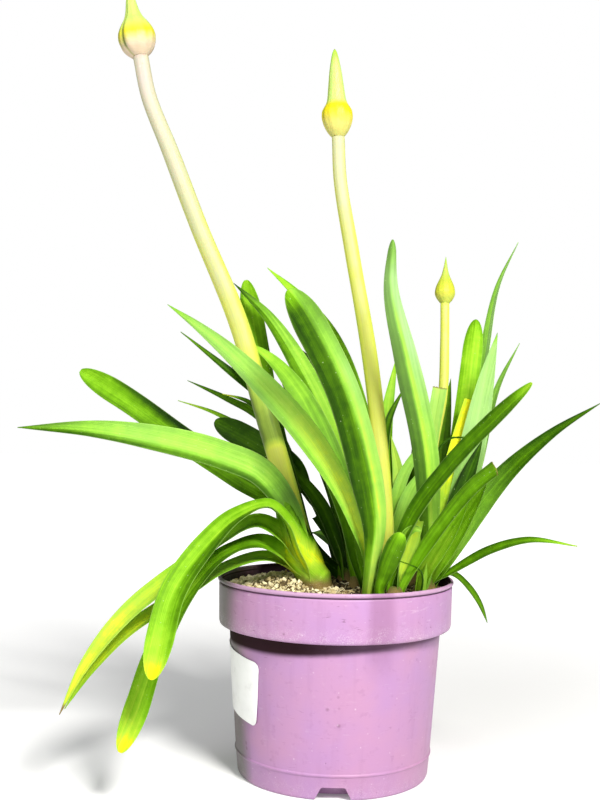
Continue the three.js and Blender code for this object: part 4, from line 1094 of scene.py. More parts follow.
def paintStainsAndShade(tree, x, z, reach, cloud, grain):
    # soil stains the inside up from the fill; painted shadow darkens the rest of the inside wall right of its
    # far left part, the groove below the lip and the body below the collar
    look = potLook
    splashAndShade = ease(tree, scaled(tree, grain["Broad"], -0.007, z), *look["splash"], 0.25, 0.9)
    # painted shadow on the inside wall, all but its far left part
    innerShadowEdge = scaled(tree, cloud["Fine"], 0.008, x)
    splashAndShade = mathNode(tree, "MAXIMUM", splashAndShade, ease(tree, innerShadowEdge, -0.066, -0.05, 0.0, 0.97))
    insideStainAndShade = product(tree, readValue(tree, "within"), splashAndShade)
    # painted shade in the groove below the lip
    grooveShade = product(tree, ease(tree, reach, *look["grooveReach"]), ease(tree, z, *look["grooveFoot"]),
                     ease(tree, z, *look["grooveTop"]), 0.75)
    # painted shadow below the collar's overhang, reaching further down on the left and a little fainter to
    # the right
    shadowFoot = ease(tree, scaled(tree, grain["Broad"], 0.012, x), -0.05, 0.07, 0.0922, 0.0992)
    depth = mathNode(tree, "SUBTRACT", z, shadowFoot)
    under = product(tree, ease(tree, z, *look["step"]), ease(tree, depth, -0.0008, 0.0036),
                    ease(tree, x, -0.03, 0.04, 1.0, 0.72), 0.97)
    return mathNode(tree, "MAXIMUM", insideStainAndShade, mathNode(tree, "MAXIMUM", grooveShade, under))


def makePotMaterial():
    look = potLook
    material, tree, shader = newMaterial("lilacPlastic", IOR=1.49)
    place = bodyPlace(tree)
    x, y, z = addNode(tree, "ShaderNodeSeparateXYZ", {0: place}).outputs
    reach = mathNode(tree, "SQRT", scaled(tree, x, x, product(tree, y, y)))
    cloud = useGroup(tree, mottle, Place=place, Size=0.045)
    grain = useGroup(tree, mottle, Place=place, Size=0.006)
    flecks = useGroup(tree, specks, Place=place, Cell=0.004, Share=0.22)["Mask"]
    grit = useGroup(tree, specks, Place=place, Cell=0.009, Share=0.3)["Mask"]
    streaks = drawnNoise(tree, place, (150, 150, 12), Detail=3.0)
    rubs = drawnNoise(tree, place, (70, 70, 380), (0.06, 0.05, 0), Detail=6.0, Roughness=0.65, Distortion=1.2)
    faded = ease(tree, cloud["Broad"], 0.3, 0.7)
    colour = blendColour(tree, faded, tint(look["colour"]), tint(look["faded"]))
    colour = layOver(tree, colour, ease(tree, streaks, 0.5, 0.8, 0.0, 0.22), look["shaded"])
    colour = layOver(tree, colour, ease(tree, z, *look["lipBand"]), look["lip"], 0.7)
    onCollar = ease(tree, z, *look["collarBand"])
    # pale scuffs and dark rubs, more of them on the collar
    scuffs = product(tree, ease(tree, rubs, 0.56, 0.74), ease(tree, cloud["Fine"], 0.42, 0.62))
    colour = layOver(tree, colour, product(tree, scuffs, scaled(tree, onCollar, 0.22, 0.16)), look["dust"])
    marks = product(tree, ease(tree, rubs, 0.385, 0.33), ease(tree, grain["Broad"], 0.44, 0.56))
    colour = layOver(tree, colour, product(tree, marks, scaled(tree, onCollar, 0.3, 0.25)), look["rub"])
    # a painted reflection of the leaves darkens the far left edge to green grey, a painted leaf shadow runs
    # down the front of the collar, and darker patches show where it has been wet
    # painted reflection of the leaves on the far left edge
    aside = scaled(tree, cloud["Broad"], 0.06, mathNode(tree, "DIVIDE", x, reach))
    colour = layOver(tree, colour, ease(tree, aside, -0.76, -0.9, 0.0, 0.8), look["edgeReflection"])
    # a painted leaf shadow down the front of the collar and onto the body below it
    leafShadowAt = mathNode(tree, "ABSOLUTE", mathNode(tree, "ADD", scaled(tree, streaks, 0.008, x), -0.032))
    run = product(tree, ease(tree, leafShadowAt, 0.013, 0.004), ease(tree, z, 0.07, 0.112),
                  ease(tree, y, 0.0, -0.03, 0.0, 0.75))
    colour = layOver(tree, colour, run, look["shaded"])
    damp = product(tree, ease(tree, cloud["Fine"], 0.55, 0.7), ease(tree, grain["Broad"], 0.35, 0.6))
    colour = layOver(tree, colour, damp, look["shaded"], 0.25)
    # a film of dust on the foot and on the collar, with flecks and grit
    film = mathNode(tree, "MAXIMUM", ease(tree, z, *look["footFilm"], 0.0, 0.3),
                    product(tree, ease(tree, z, *look["collarFilm"], 0.0, 0.5), onCollar))
    film = product(tree, film, ease(tree, grain["Fine"], 0.42, 0.74),
                   ease(tree, cloud["Fine"], 0.36, 0.62, 0.25, 1.0))
    colour = layOver(tree, colour, film, look["dust"])
    colour = layOver(tree, colour, flecks, look["dust"], 0.55)
    colour = layOver(tree, colour, grit, look["rub"], 0.6)
    # soil stains together with painted shade and painted shadow
    stainedAndShaded = paintStainsAndShade(tree, x, z, reach, cloud, grain)
    colour = layOver(tree, colour, stainedAndShaded, look["grimeAndShade"])
    rough = scaled(tree, scuffs, 0.15, scaled(tree, grain["Broad"], 0.14, 0.4))
    tree.links.new(scaled(tree, stainedAndShaded, -0.36, 0.4), shader.inputs["Specular IOR Level"])
    height = scaled(tree, grit, 1.5, scaled(tree, grain["Fine"], 0.6, product(tree, rubs, 0.7)))
    dress(tree, shader, colour, scaled(tree, stainedAndShaded, 0.3, rough), height, 0.3, 0.00015)
    return material


potPiece = makePiece("nurseryPot", latheSkin(roundCorners(potLook["profile"], potLook["corner"]),
                                             potLook["segments"]), makePotMaterial())
cutAway(potPiece, potOpenings())
markInside(potPiece.data)
potPiece.data.polygons.foreach_set("use_smooth", [True] * len(potPiece.data.polygons))
potPiece.data.set_sharp_from_angle(angle=math.radians(potLook["sharp"]))
fit(potPiece, "pot_plastic", "pot")
print("turned the pot:", len(potPiece.data.polygons), "faces")

labelLook = {
    "low": 45, "high": 89, "from": 46, "to": 98, "corner": 5,    # mm, and degrees round from the front
    "middle": 73,                    # the pot's radius halfway up the label, mm
    "askew": 0.095, "thickness": 0.3, "gap": 0.35,
    "lift": (0.7, 9, 22),            # how far the near edge has come away, how wide and how far up, mm
    "ripple": (0.12, 4.1, 5.3),      # small waves of the paper and their lengths along and up, mm
    "rows": 40, "columns": 52, "sharp": 40,
    "paper": "#f8f8f7", "shade": "#ececea", "smudge": "#c9c4c5",
}


def labelSkin():
    look, rows, columns = labelLook, labelLook["rows"], labelLook["columns"]
    tall = look["high"] - look["low"]
    wide = math.radians(look["to"] - look["from"]) * look["middle"]
    up = ((1 - np.cos(np.linspace(0, math.pi, rows))) / 2 * tall)[:, None]
    near = np.clip(look["corner"] - np.minimum(up, tall - up), 0, None)
    inset = look["corner"] - np.sqrt(np.clip(look["corner"] ** 2 - near ** 2, 0, None))
    across = (1 - np.cos(np.linspace(0, math.pi, columns))) / 2
    run = inset + (wide - 2 * inset) * across
    height = look["low"] + up + look["askew"] * (run - wide / 2)
    run = run - look["askew"] * (up - tall / 2)
    angle = np.radians(-90 - look["from"]) - run / look["middle"]
    (foot, footRadius), (top, topRadius) = potLook["wall"]
    radius = footRadius + (topRadius - footRadius) * (height - foot) / (top - foot) + look["gap"]
    lift, liftWide, liftTall = look["lift"]
    ripple, alongWave, upWave = look["ripple"]
    peel = lift * smoothStep(run, liftWide, 0) * smoothStep(up, liftTall, 0)
    peel += ripple * np.sin(run / alongWave) * np.sin(up / upWave)
    skins = [np.stack([(radius + peel + d) * np.cos(angle), (radius + peel + d) * np.sin(angle), height], 2)
             for d in (look["thickness"], 0)]
    points = np.concatenate([skin.reshape(-1, 3) for skin in skins])
    front = gridFaces(rows, columns, False)
    faces = front + [tuple(rows * columns + k for k in face[::-1]) for face in front]
    rim = list(range(columns)) + [r * columns + columns - 1 for r in range(1, rows)]
    rim += [(rows - 1) * columns + k for k in range(columns - 2, -1, -1)]
    rim += [r * columns for r in range(rows - 2, 0, -1)]
    faces += [(a, a + rows * columns, b + rows * columns, b) for a, b in zip(rim, rim[1:] + rim[:1])]
    return {"points": points, "faces": faces,
            "values": {"place": np.concatenate([placeValues(run, height, 0.0)] * 2)}}


def makeLabelMaterial():
    look = labelLook
    material, tree, shader = newMaterial("bareSticker", Specular_IOR_Level=0.5, Coat_Weight=0.25,
                                         Coat_Roughness=0.35)
    place = readValue(tree, "place", "Vector")
    uneven = useGroup(tree, mottle, Place=place, Size=0.012)
    fibre = useGroup(tree, mottle, Place=place, Size=0.0012)
    dust = useGroup(tree, specks, Place=place, Cell=0.0035, Share=0.12)["Mask"]
    colour = blendColour(tree, ease(tree, uneven["Broad"], 0.4, 0.75, 0.0, 0.6), tint(look["paper"]),
                         tint(look["shade"]))
    smudged = product(tree, ease(tree, uneven["Broad"], 0.56, 0.7), ease(tree, uneven["Fine"], 0.4, 0.7))
    colour = layOver(tree, colour, smudged, look["smudge"], 0.35)
    colour = layOver(tree, colour, dust, look["smudge"], 0.4)
    dress(tree, shader, colour, scaled(tree, fibre["Broad"], 0.2, 0.42), fibre["Broad"], 0.25, 0.00006)
    return material


labelPiece = makePiece("sticker", labelSkin(), makeLabelMaterial())
labelPiece.data.set_sharp_from_angle(angle=math.radians(labelLook["sharp"]))
fit(labelPiece, "label_paper", "label")
print("stuck on the bare label")

soilLook = {
    "edge": 129.5, "dome": 2.5, "radius": 82,
    "mound": (-38, -8, 9, 22),       # x, y, rise and spread, mm
    "lumps": [(1.3, 8, 3.1), (1.1, 3.1, 8.7), (0.5, 1.3, 5.5)],      # height, size and seed of each, mm
    "rings": 74, "sectors": 190, "reach": 81.4, "calmRim": (0.6, 1.5), "fillChip": 0.16,
    # the wall's inside from the fill down, less the gap to it
    "side": [(81.45, 108.6), (80.8, 107.2), (79.2, 106.8), (74.7, 106.6), (73.8, 103.4), (67.8, 18),
             (65.8, 12.2)],
    "dark": "#1a120a", "mid": "#77643f", "light": "#bfae7e", "pale": "#ddd1aa", "paleAndLit": "#f6e8ba",
    "chips": 6800, "chipSize": (0.55, 2.5), "chipReach": (80.6, 80.9), "stemGap": 0.6,
    "chipTone": (0.76, 0.27),        # the middle of the crumbs' tones, and how far they differ
    "damp": (0.62, -20, 2), "dried": (0.4, -26, -4),     # how much darker the damp crumbs are, and how much paler painted light makes the ones at the back, from one place to another
    "strawCount": 40, "frontStraws": 9, "strawReach": (74, 77), "strawLength": (7, 17),
    "strawRadius": (0.22, 0.5),
}


def soilHeight(x, y):
    look = soilLook
    mx, my, rise, spread = look["mound"]
    return (look["edge"] + look["dome"] * (1 - (np.hypot(x, y) / look["radius"]) ** 2)
            + rise * np.exp(-((x - mx) ** 2 + (y - my) ** 2) / spread ** 2))


def crumble(x, y):
    # lumps and dips of the loose surface, in mm
    return sum(height * noise.noise((x / size, y / size, seed)) for height, size, seed in soilLook["lumps"])


def soilSkin():
    look = soilLook
    sectors, rings = look["sectors"], look["rings"] + len(look["side"])
    calm, rim = look["calmRim"]
    points = [(0.0, 0.0, float(soilHeight(0, 0)))]
    for radius in np.linspace(0, look["reach"], look["rings"] + 1)[1:]:
        for k in range(sectors):
            angle = fullTurn * (k + 0.5 * (radius > 4)) / sectors
            x, y = radius * math.cos(angle), radius * math.sin(angle)
            loose = 1 - calm * (radius > look["reach"] - rim)
            points.append((x, y, float(soilHeight(x, y)) + loose * crumble(x, y)))
    for radius, height in look["side"]:
        angles = [fullTurn * (k + 0.5) / sectors for k in range(sectors)]
        points += [(radius * math.cos(angle), radius * math.sin(angle), height) for angle in angles]
    faces = [(0, 1 + k, 1 + (k + 1) % sectors) for k in range(sectors)] + gridFaces(rings, sectors, start=1)
    faces.append(tuple(1 + (rings - 1) * sectors + k for k in range(sectors)))
    return {"points": np.array(points), "faces": faces,
            "values": {"chip": np.full(len(points), look["fillChip"])}}


def chipTone(draw, x, y):
    # painted light makes the crumbs paler towards the back at the left, where the leaves shade the mound; the
    # damp ones lie round the stalks at the right
    look = soilLook
    darker, dampFrom, dampTo = look["damp"]
    paler, litFrom, litTo = look["dried"]
    damp = smoothStep(x + 0.2 * y, dampFrom, dampTo)
    tone = draw.gauss(*look["chipTone"]) - darker * damp
    return np.clip(tone + paler * smoothStep(y, litFrom, litTo) * (1 - damp), 0.04, 1.3)


def chipSkins():
    # loose bark and clay crumbs, each a small battered lump with its own tone
    look = soilLook
    draw = random.Random(41)
    ball = bmesh.new()
    bmesh.ops.create_icosphere(ball, subdivisions=1, radius=1)
    shape = np.array([v.co for v in ball.verts])
    sides = [tuple(v.index for v in f.verts) for f in ball.faces]
    ball.free()
    necks = [shoot["neck"][1] for shoot in shootRoutes.values()]
    feet = [(neck[0], neck[1], neck[3] - look["stemGap"], neck[4] - look["stemGap"]) for neck in necks]
    low, high = look["chipSize"]
    reach, wall = look["chipReach"]
    skins = []
    while len(skins) < look["chips"]:
        radius, angle = reach * math.sqrt(draw.random()), draw.uniform(0, fullTurn)
        x, y = radius * math.cos(angle), radius * math.sin(angle)
        if any(((x - fx) / fa) ** 2 + ((y - fy) / fb) ** 2 < 1 for fx, fy, fa, fb in feet):
            continue
        size = low + (high - low) * draw.random() ** 2.6
        if radius > wall - size * 1.2:
            continue
        angle, axis = draw.uniform(0, 6.28), Vector([draw.gauss(0, 1) for _ in range(3)])
        turn = np.array(Matrix.Rotation(angle, 3, axis))
        rough = 1 + 0.36 * np.array([draw.uniform(-1, 1) for _ in shape])
        squash = np.array((1, draw.uniform(0.5, 1), draw.uniform(0.4, 0.95)))
        lump = (shape * rough[:, None] * squash * size) @ turn.T
        z = float(soilHeight(x, y)) + crumble(x, y) + size * draw.uniform(-0.25, 0.55)
        skins.append({"points": lump + (x, y, z), "faces": sides,
                      "values": {"chip": np.full(len(shape), chipTone(draw, x, y))}})
    return skins


def strawSkins():
    # bits of straw and fine root on the surface, with their ends sunk into it
    look = soilLook
    draw = random.Random(77)
    reach, limit = look["strawReach"]
    skins = []
    for k in range(look["strawCount"]):
        if k < look["frontStraws"]:
            x, y = draw.uniform(-12, 2), draw.uniform(-40, -26)
        else:
            radius, angle = reach * math.sqrt(draw.random()), draw.uniform(0, fullTurn)
            x, y = radius * math.cos(angle), radius * math.sin(angle)
        length = draw.uniform(*look["strawLength"])
        heading, bend = draw.uniform(0, 6.28), draw.uniform(-0.09, 0.09)
        path = []
        for step in range(7):
            path.append((x, y, float(soilHeight(x, y)) + 1.7 + 0.5 * math.sin(step * 1.1 + k)))
            x, y = x + length / 6 * math.cos(heading), y + length / 6 * math.sin(heading)
            if math.hypot(x, y) > limit:
                break
            heading += bend * length / 2
        if len(path) < 4:
            continue
        path[0] = (path[0][0], path[0][1], path[0][2] - 2.2)
        path[-1] = (path[-1][0], path[-1][1], path[-1][2] - 2.0)
        skin = tubeSkin(path, [draw.uniform(*look["strawRadius"])] * len(path), sides=6, seed=k, rows=14)
        skin["values"] = {"chip": np.full(len(skin["points"]), draw.uniform(0.8, 1.15))}
        skins.append(skin)
    return skins


def makeSoilMaterial():
    look = soilLook
    material, tree, shader = newMaterial("pottingMix", Specular_IOR_Level=0.3)
    place = bodyPlace(tree)
    clumps = useGroup(tree, mottle, Place=place, Size=0.004)
    grains = useGroup(tree, mottle, Place=place, Size=0.0009)
    pale = useGroup(tree, specks, Place=place, Cell=0.0016, Share=0.2)["Mask"]
    level = stir(tree, stir(tree, readValue(tree, "chip"), clumps["Broad"], 0.3), grains["Broad"], 0.3)
    level = mathNode(tree, "DIVIDE", level, 1.3, clamp=True)
    colour = rampNode(tree, level, [(0.0, look["dark"]), (0.25, look["mid"]), (0.5, look["light"]),
                                    (0.77, look["pale"]), (1.0, look["paleAndLit"])])
    colour = layOver(tree, colour, pale, look["pale"], 0.5)
    height = scaled(tree, grains["Fine"], 0.5, grains["Broad"])
    dress(tree, shader, colour, scaled(tree, grains["Broad"], 0.25, 0.7), height, 0.7, 0.0004)
    return material


soilMaterial = makeSoilMaterial()
fit(makePiece("soilFill", soilSkin(), soilMaterial), "potting_mix", "soil")
fit(makePiece("soilCrumbs", joinSkins(chipSkins()), soilMaterial, smooth=False, closed=False), "potting_mix")
fit(makePiece("strawBits", joinSkins(strawSkins()), soilMaterial), "potting_mix")
print("filled the pot")

# paths in mm from inside the soil up, with the radius at each point; shade is (share along, tone), where
# 0 is the green yellow of the foot and 1 the pinkish cream of the top, and the left stalk's dip at about 0.3
# along is a painted shadow of the crossing leaf; bud is radius, length, flatness
stalks = {
    "left": {
        "path": [(-14, -13, 116), (-21, -13, 155), (-36, -10, 201), (-54, -7, 258), (-75, -3, 324),
                 (-104.8, 1, 392), (-128, 5, 449), (-145.5, 8, 491), (-152.5, 10, 521)],
        "radii": [5.2, 6, 7.6, 7.6, 7.1, 6.6, 6.2, 5.9, 5.7],
        "shade": [(0, 0.2), (0.14, 0.34), (0.24, 0.4), (0.275, 0.38), (0.295, 0.08), (0.33, 0.04),
                  (0.38, 0.2), (0.46, 0.5), (0.65, 0.62), (1, 1)],
        "bud": (13.9, 61, 0.9)},
    "centre": {
        "path": [(37, -19, 116), (34, -21, 181), (28, -19, 245), (21, -17, 299), (7, -13, 375),
                 (-2, -10, 426), (-4, -8, 458)],
        "radii": [5.6, 5.8, 5.8, 5.5, 5.2, 4.9, 4.6],
        "shade": [(0, 0.1), (0.15, 0.36), (0.3, 0.42), (0.6, 0.45), (1, 0.7)],
        "bud": (11.2, 67, 0.9)},
    "right": {
        "path": [(60, 22, 116), (68, 27, 178), (75, 39, 235), (83, 49, 274), (85.5, 61, 314),
                 (86.5, 70, 347.5)],
        "radii": [3.8, 4, 3.9, 3.8, 3.6, 3.5],
        "shade": [(0, 0.1), (0.5, 0.42), (1, 0.5)],
        "bud": (8, 41, 0.92)},
}

stalkLook = {
    "sides": 32, "ridges": 9, "ridge": 0.012, "swell": 0.012,       # shares of the radius
    "palette": [(0.0, "#5c7220"), (0.14, "#8ea836"), (0.3, "#c2cc42"), (0.45, "#bcc054"), (0.62, "#acae80"),
                (0.82, "#ada88e"), (1.0, "#aca098")],
    "flank": 0.22,                   # painted reflection: how much greener the two sides are
    "bruise": "#8f9040", "bloom": "#d9d8bf",
}


def stalkRelief(radius):
    # low ridges along the stalk, and a slow swelling
    look = stalkLook

    def relief(share, angle):
        ridges = look["ridge"] * np.cos(look["ridges"] * angle + 5 * share)
        return radius * (ridges + look["swell"] * (np.sin(3 * angle + 9 * share) + np.sin(26 * share)))

    return relief


def makeStalkMaterial():
    look = stalkLook
    material, tree, shader = newMaterial("flowerStalk", Specular_IOR_Level=0.3, Subsurface_Weight=0.08,
                                         Subsurface_Scale=0.002)
    body = bodyPlace(tree)
    vein = useGroup(tree, veins, Place=readValue(tree, "place", "Vector"), Spacing=0.0016)
    uneven = useGroup(tree, mottle, Place=body, Size=0.02)
    dust = useGroup(tree, specks, Place=body, Cell=0.004, Share=0.2)["Mask"]
    level = stir(tree, readValue(tree, "tone"), uneven["Broad"], 0.22)
    colour = rampNode(tree, stir(tree, level, vein["Soft"], 0.12, clamp=True), look["palette"])
    colour = layOver(tree, colour, ease(tree, uneven["Fine"], 0.6, 0.75), look["bruise"], 0.22)
    colour = layOver(tree, colour, vein["Line"], look["bruise"], 0.12)
    colour = layOver(tree, colour, dust, look["bloom"], 0.35)
    height = scaled(tree, uneven["Fine"], 0.4, product(tree, vein["Line"], 0.6))
    dress(tree, shader, colour, scaled(tree, vein["Soft"], 0.2, 0.44), height, 0.3, 0.0002)
    return material


budLook = {
    "rows": 84, "columns": 72, "seam": 0.07, "ribs": 13, "rib": 0.014, "gap": 0.35,
    "skirt": 0.6,                    # how far the corners of the two bracts stand off at the foot, mm
    "seamWidths": (0.11, 0.13), "seamColourWidth": 0.1,          # radians
    "lap": (0.06, 0.275, 0.1732),    # the ridge where one bract laps over the other: height, place, width
    "opening": (0.16, 0.07), "openingSpan": ((0.16, 0.26), (0.48, 0.62)),        # a split seam: depth, width
    "crackWidth": 0.08, "crackAside": (-0.42, 0.7), "crackSpan": ((0.06, 0.14), (0.46, 0.6)),
    # what sets each bud apart: its profile as share along and share of the radius, how it is turned, how far
    # its beak bends sideways and back in mm, how cream its foot is, and how far one seam has split
    "left": {"profile": [(0, 0.42), (0.03, 0.57), (0.06, 0.7), (0.11, 0.86), (0.17, 0.96), (0.24, 1),
                         (0.31, 0.96), (0.37, 0.86), (0.44, 0.69), (0.51, 0.5), (0.59, 0.38), (0.71, 0.28),
                         (0.85, 0.16), (0.95, 0.07), (1, 0.01)],
             "turn": -2.35, "bend": (1.8, 0.0), "cream": 1.0, "split": 1.0,
             "tone": [(0, 0.3), (0.15, 0.5), (0.26, 0.9), (0.36, 0.8), (0.46, 0.35), (1, 0.2)],
             "beak": (0.26, 0.42, 0.7)},
    "centre": {"profile": [(0, 0.4), (0.035, 0.58), (0.075, 0.74), (0.15, 0.93), (0.22, 1), (0.28, 0.97),
                           (0.33, 0.84), (0.37, 0.7), (0.43, 0.6), (0.57, 0.51), (0.72, 0.42), (0.83, 0.32),
                           (0.93, 0.2), (0.98, 0.1), (1, 0.02)],
               "turn": 0.4, "bend": (0.4, 0.4), "cream": 0.35, "split": 0.0,
               "tone": [(0, 0.45), (0.13, 0.75), (0.22, 1.1), (0.34, 1.1), (0.4, 0.4), (1, 0.3)],
               "beak": (0.33, 0.42, 0.85)},
    "right": {"profile": [(0, 0.42), (0.05, 0.62), (0.12, 0.86), (0.21, 1), (0.32, 0.94), (0.4, 0.82),
                          (0.46, 0.7), (0.54, 0.53), (0.62, 0.38), (0.73, 0.25), (0.86, 0.13), (1, 0.02)],
              "turn": 0.2, "bend": (0.6, 0.0), "cream": 0.1, "split": 0.0,
              "tone": [(0, 0.3), (0.2, 0.5), (0.3, 0.45), (0.6, 0.3), (1, 0.2)],
              "beak": (0.4, 0.7, 0.4)},
    "palette": [(0.0, "#84a428"), (0.3, "#a8b838"), (0.6, "#bcba22"), (1.0, "#c2b604")],
    "cream": "#c2ae94", "beak": "#a6c066", "seamColour": "#7b8a2c", "crack": "#36500f",
    "tipColour": "#86b414", "scar": "#6b5a2c",
}


def budSkin(name, base, way):
    look, own = budLook, budLook[name]
    radius, length, flatness = stalks[name]["bud"]
    rows, columns = look["rows"], look["columns"]
    keys = np.array(own["profile"])
    t = np.linspace(0, 1, rows) ** 1.15
    # a smooth profile through the given shares
    curve, _ = evenPath(np.stack([keys[:, 0], keys[:, 1], 0 * keys[:, 0]], 1) * 100, 400)
    share = np.interp(t, curve[:, 0] / 100, curve[:, 1] / 100)[:, None]
    angle = roundAngles(columns)[None, :]
    turned = angle - own["turn"]
    # the two sheathing bracts meet in seams on opposite sides, one lapping over the other
    side = (turned + math.pi) % fullTurn - math.pi
    other = turned % fullTurn - math.pi
    narrow, wide = look["seamWidths"]
    lap, lapAt, lapWide = look["lap"]
    splitDeep, splitWide = look["opening"]
    relief = -look["seam"] * bell(side, narrow) - 0.5 * look["seam"] * bell(other, wide)
    relief = relief + lap * bell(side - lapAt, lapWide) * (side > 0)
    relief = relief - splitDeep * own["split"] * bell(side, splitWide) * within(t, *look["openingSpan"])
    relief = relief + look["rib"] * np.cos(look["ribs"] * turned + 1.5 * np.sin(3 * t)[:, None])
    relief = relief + 0.014 * np.sin(2 * turned + 7 * t[:, None])
    # the split bract shows a dark line on each side of the gap
    crackAt, fainter = look["crackAside"]
    lines = bell(side, look["crackWidth"]) + fainter * bell(side - crackAt, look["crackWidth"])
    crack = own["split"] * lines * within(t, *look["crackSpan"])
    girth = radius * share * (1 + relief * smoothStep(t, 0, 0.1)[:, None])
    right = np.cross((0, 1, 0), way)
    right /= np.linalg.norm(right)
    deep = np.cross(way, right)
    sideways, backwards = own["bend"]
    x = girth * np.cos(angle) + (sideways * t ** 2)[:, None]
    y = girth * flatness * np.sin(angle) + (backwards * t ** 2)[:, None]
    skirt = look["skirt"] * np.cos(2 * turned) * smoothStep(t, 0.05, 0)[:, None]
    along = t[:, None] * length + look["gap"] + 0.35 * skirt
    points = base + x[..., None] * right + y[..., None] * deep + along[..., None] * way
    seam = bell(side, look["seamColourWidth"]) + 0.6 * bell(other, look["seamColourWidth"]) + 0 * t[:, None]
    place = placeValues(radius * turned * (0.25 + share), t[:, None] * length + 0 * angle, 7.7 + own["turn"])
    beakFrom, beakTo, beakAmount = own["beak"]
    return {"points": points.reshape(-1, 3), "faces": closedTube(rows, columns),
            "values": {"place": place, "share": np.repeat(t, columns), "seam": seam.ravel(),
                       "crack": crack.ravel(),
                       "tone": np.repeat(alongKeys(own["tone"], t)[0].ravel(), columns),
                       "beak": np.repeat(beakAmount * smoothStep(t, beakFrom, beakTo), columns),
                       "cream": np.full(rows * columns, own["cream"])}}


def makeBudMaterial():
    look = budLook
    material, tree, shader = newMaterial("closedBud", Specular_IOR_Level=0.25, Subsurface_Weight=0.1,
                                         Subsurface_Scale=0.002)
    share, seam, cream, tone, beak = (readValue(tree, name)
                                      for name in ("share", "seam", "cream", "tone", "beak"))
    vein = useGroup(tree, veins, Place=readValue(tree, "place", "Vector"), Spacing=0.0019)
    uneven = useGroup(tree, mottle, Place=bodyPlace(tree), Size=0.008)
    level = stir(tree, stir(tree, tone, uneven["Broad"], 0.3), vein["Soft"], 0.2, clamp=True)
    colour = rampNode(tree, level, look["palette"])
    foot = product(tree, cream, ease(tree, scaled(tree, uneven["Broad"], 0.12, share), 0.34, 0.16))
    colour = layOver(tree, colour, foot, look["cream"])
    colour = layOver(tree, colour, beak, look["beak"])
    colour = layOver(tree, colour, vein["Line"], look["seamColour"], 0.25)
    colour = layOver(tree, colour, mathNode(tree, "MULTIPLY", seam, 0.62, clamp=True), look["seamColour"])
    ragged = product(tree, readValue(tree, "crack"), ease(tree, uneven["Fine"], 0.3, 0.5, 0.45, 0.9))
    colour = layOver(tree, colour, ragged, look["crack"])
    colour = layOver(tree, colour, ease(tree, share, 0.78, 0.97, 0.0, 0.8), look["tipColour"])
    colour = layOver(tree, colour, ease(tree, share, 0.975, 0.998, 0.0, 0.8), look["scar"])
    height = scaled(tree, uneven["Fine"], 0.4, product(tree, vein["Line"], 0.8))
    dress(tree, shader, colour, scaled(tree, uneven["Fine"], 0.2, 0.36), height, 0.4, 0.0003)
    return material


stalkMaterial, budMaterial = makeStalkMaterial(), makeBudMaterial()
# the greener sides are a painted reflection
flank = stalkLook["flank"] * np.abs(np.cos(roundAngles(stalkLook["sides"]))) ** 3
for number, (name, stalk) in enumerate(stalks.items()):
    relief = stalkRelief(stalk["radii"][2])
    skin = tubeSkin(stalk["path"], stalk["radii"], stalkLook["sides"], number, relief=relief)
    tone = np.interp(skin["values"].pop("share"), *np.array(stalk["shade"]).T)
    skin["values"]["tone"] = tone - np.tile(flank, len(tone) // len(flank))
    fit(makePiece("stalk_" + name, skin, stalkMaterial), "flower_stalks", "scape_" + name)
    even, _ = evenPath(stalk["path"])
    _, way = alongPath(even, np.array([1.0]))
    bud = makePiece("closedBud_" + name, budSkin(name, even[-1], way[0]), budMaterial)
    fit(bud, "flower_buds", "bud_" + name)
print("raised the stalks and buds")

studio = {
    "camera": (-0.0282, -0.760, 0.2412), "pitch": -0.0327, "roll": 0.0192, "lens": 46.75, "sensor": 36,
    "key": {"at": (0.5, -1.12, 1.27), "size": 0.42, "power": 41, "colour": (1.0, 0.985, 0.95)},
    "fill": {"at": (-0.8, -1.1, 1.2), "size": 1.0, "power": 12, "colour": (0.96, 0.98, 1.0)},
    "aim": (0, 0, 0.25), "sky": 0.2,
    "floor": 0.8, "floorHalf": 9, "floorGlow": (0.12, 0.95), "glowFrom": (0.1, 1.4),
}


def addLight(name):
    look = studio[name]
    data = bpy.data.lights.new(name, "AREA")
    data.shape, data.size, data.energy, data.color = "DISK", look["size"], look["power"], look["colour"]
    lamp = bpy.data.objects.new(name, data)
    lamp.location = look["at"]
    lamp.rotation_euler = (Vector(studio["aim"]) - Vector(look["at"])).to_track_quat("-Z", "Y").to_euler()
    scene.collection.objects.link(lamp)


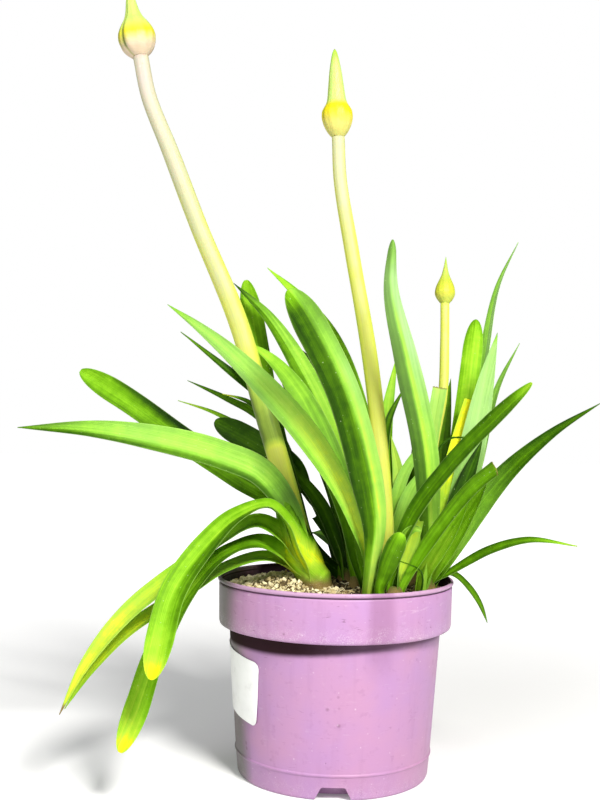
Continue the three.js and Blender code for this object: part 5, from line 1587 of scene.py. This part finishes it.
def addCamera():
    data = bpy.data.cameras.new("front")
    data.lens, data.sensor_width, data.sensor_fit = studio["lens"], studio["sensor"], "AUTO"
    data.clip_start = 0.01
    c, s = math.cos(studio["pitch"]), math.sin(studio["pitch"])
    ahead, level, upright = Vector((0, c, -s)), Vector((1, 0, 0)), Vector((0, s, c))
    right = math.cos(studio["roll"]) * level + math.sin(studio["roll"]) * upright
    up = -math.sin(studio["roll"]) * level + math.cos(studio["roll"]) * upright
    camera = bpy.data.objects.new("front", data)
    turn = Matrix((right, up, -ahead)).transposed().to_4x4()
    camera.matrix_world = Matrix.Translation(studio["camera"]) @ turn
    scene.collection.objects.link(camera)
    scene.camera = camera


def addFloor():
    material, tree, shader = newMaterial("paleFloor", Roughness=0.9, Specular_IOR_Level=0.1,
                                         Base_Color=(studio["floor"],) * 3 + (1.0,),
                                         Emission_Color=(1, 1, 1, 1))
    # a little light of its own keeps the floor near white, more of it further off
    away = addNode(tree, "ShaderNodeVectorMath", {0: bodyPlace(tree)}, operation="LENGTH").outputs["Value"]
    glow = ease(tree, away, *studio["glowFrom"], *studio["floorGlow"])
    tree.links.new(glow, shader.inputs["Emission Strength"])
    mesh = bpy.data.meshes.new("floor")
    half = studio["floorHalf"]
    corners = [(-half, -half, 0), (half, -half, 0), (half, half, 0), (-half, half, 0)]
    mesh.from_pydata(corners, [], [(0, 1, 2, 3)])
    mesh.materials.append(material)
    floor = bpy.data.objects.new("floor", mesh)
    scene.collection.objects.link(floor)


def addSky():
    world = bpy.data.worlds.new("studio")
    scene.world = world
    world.use_nodes = True
    tree = world.node_tree
    tree.nodes.clear()
    seen = addNode(tree, "ShaderNodeLightPath").outputs["Is Camera Ray"]
    glow, plain = (addNode(tree, "ShaderNodeBackground", {"Color": (1, 1, 1, 1), "Strength": strength})
                   for strength in (studio["sky"], 1.0))
    mixed = addNode(tree, "ShaderNodeMixShader", {0: seen, 1: glow.outputs[0], 2: plain.outputs[0]})
    addNode(tree, "ShaderNodeOutputWorld", {"Surface": mixed.outputs[0]})


addFloor()
addSky()
addLight("key")
addLight("fill")
addCamera()
scene.view_settings.view_transform = "Standard"
print("set the floor, lights and camera")

bpy.context.view_layer.update()
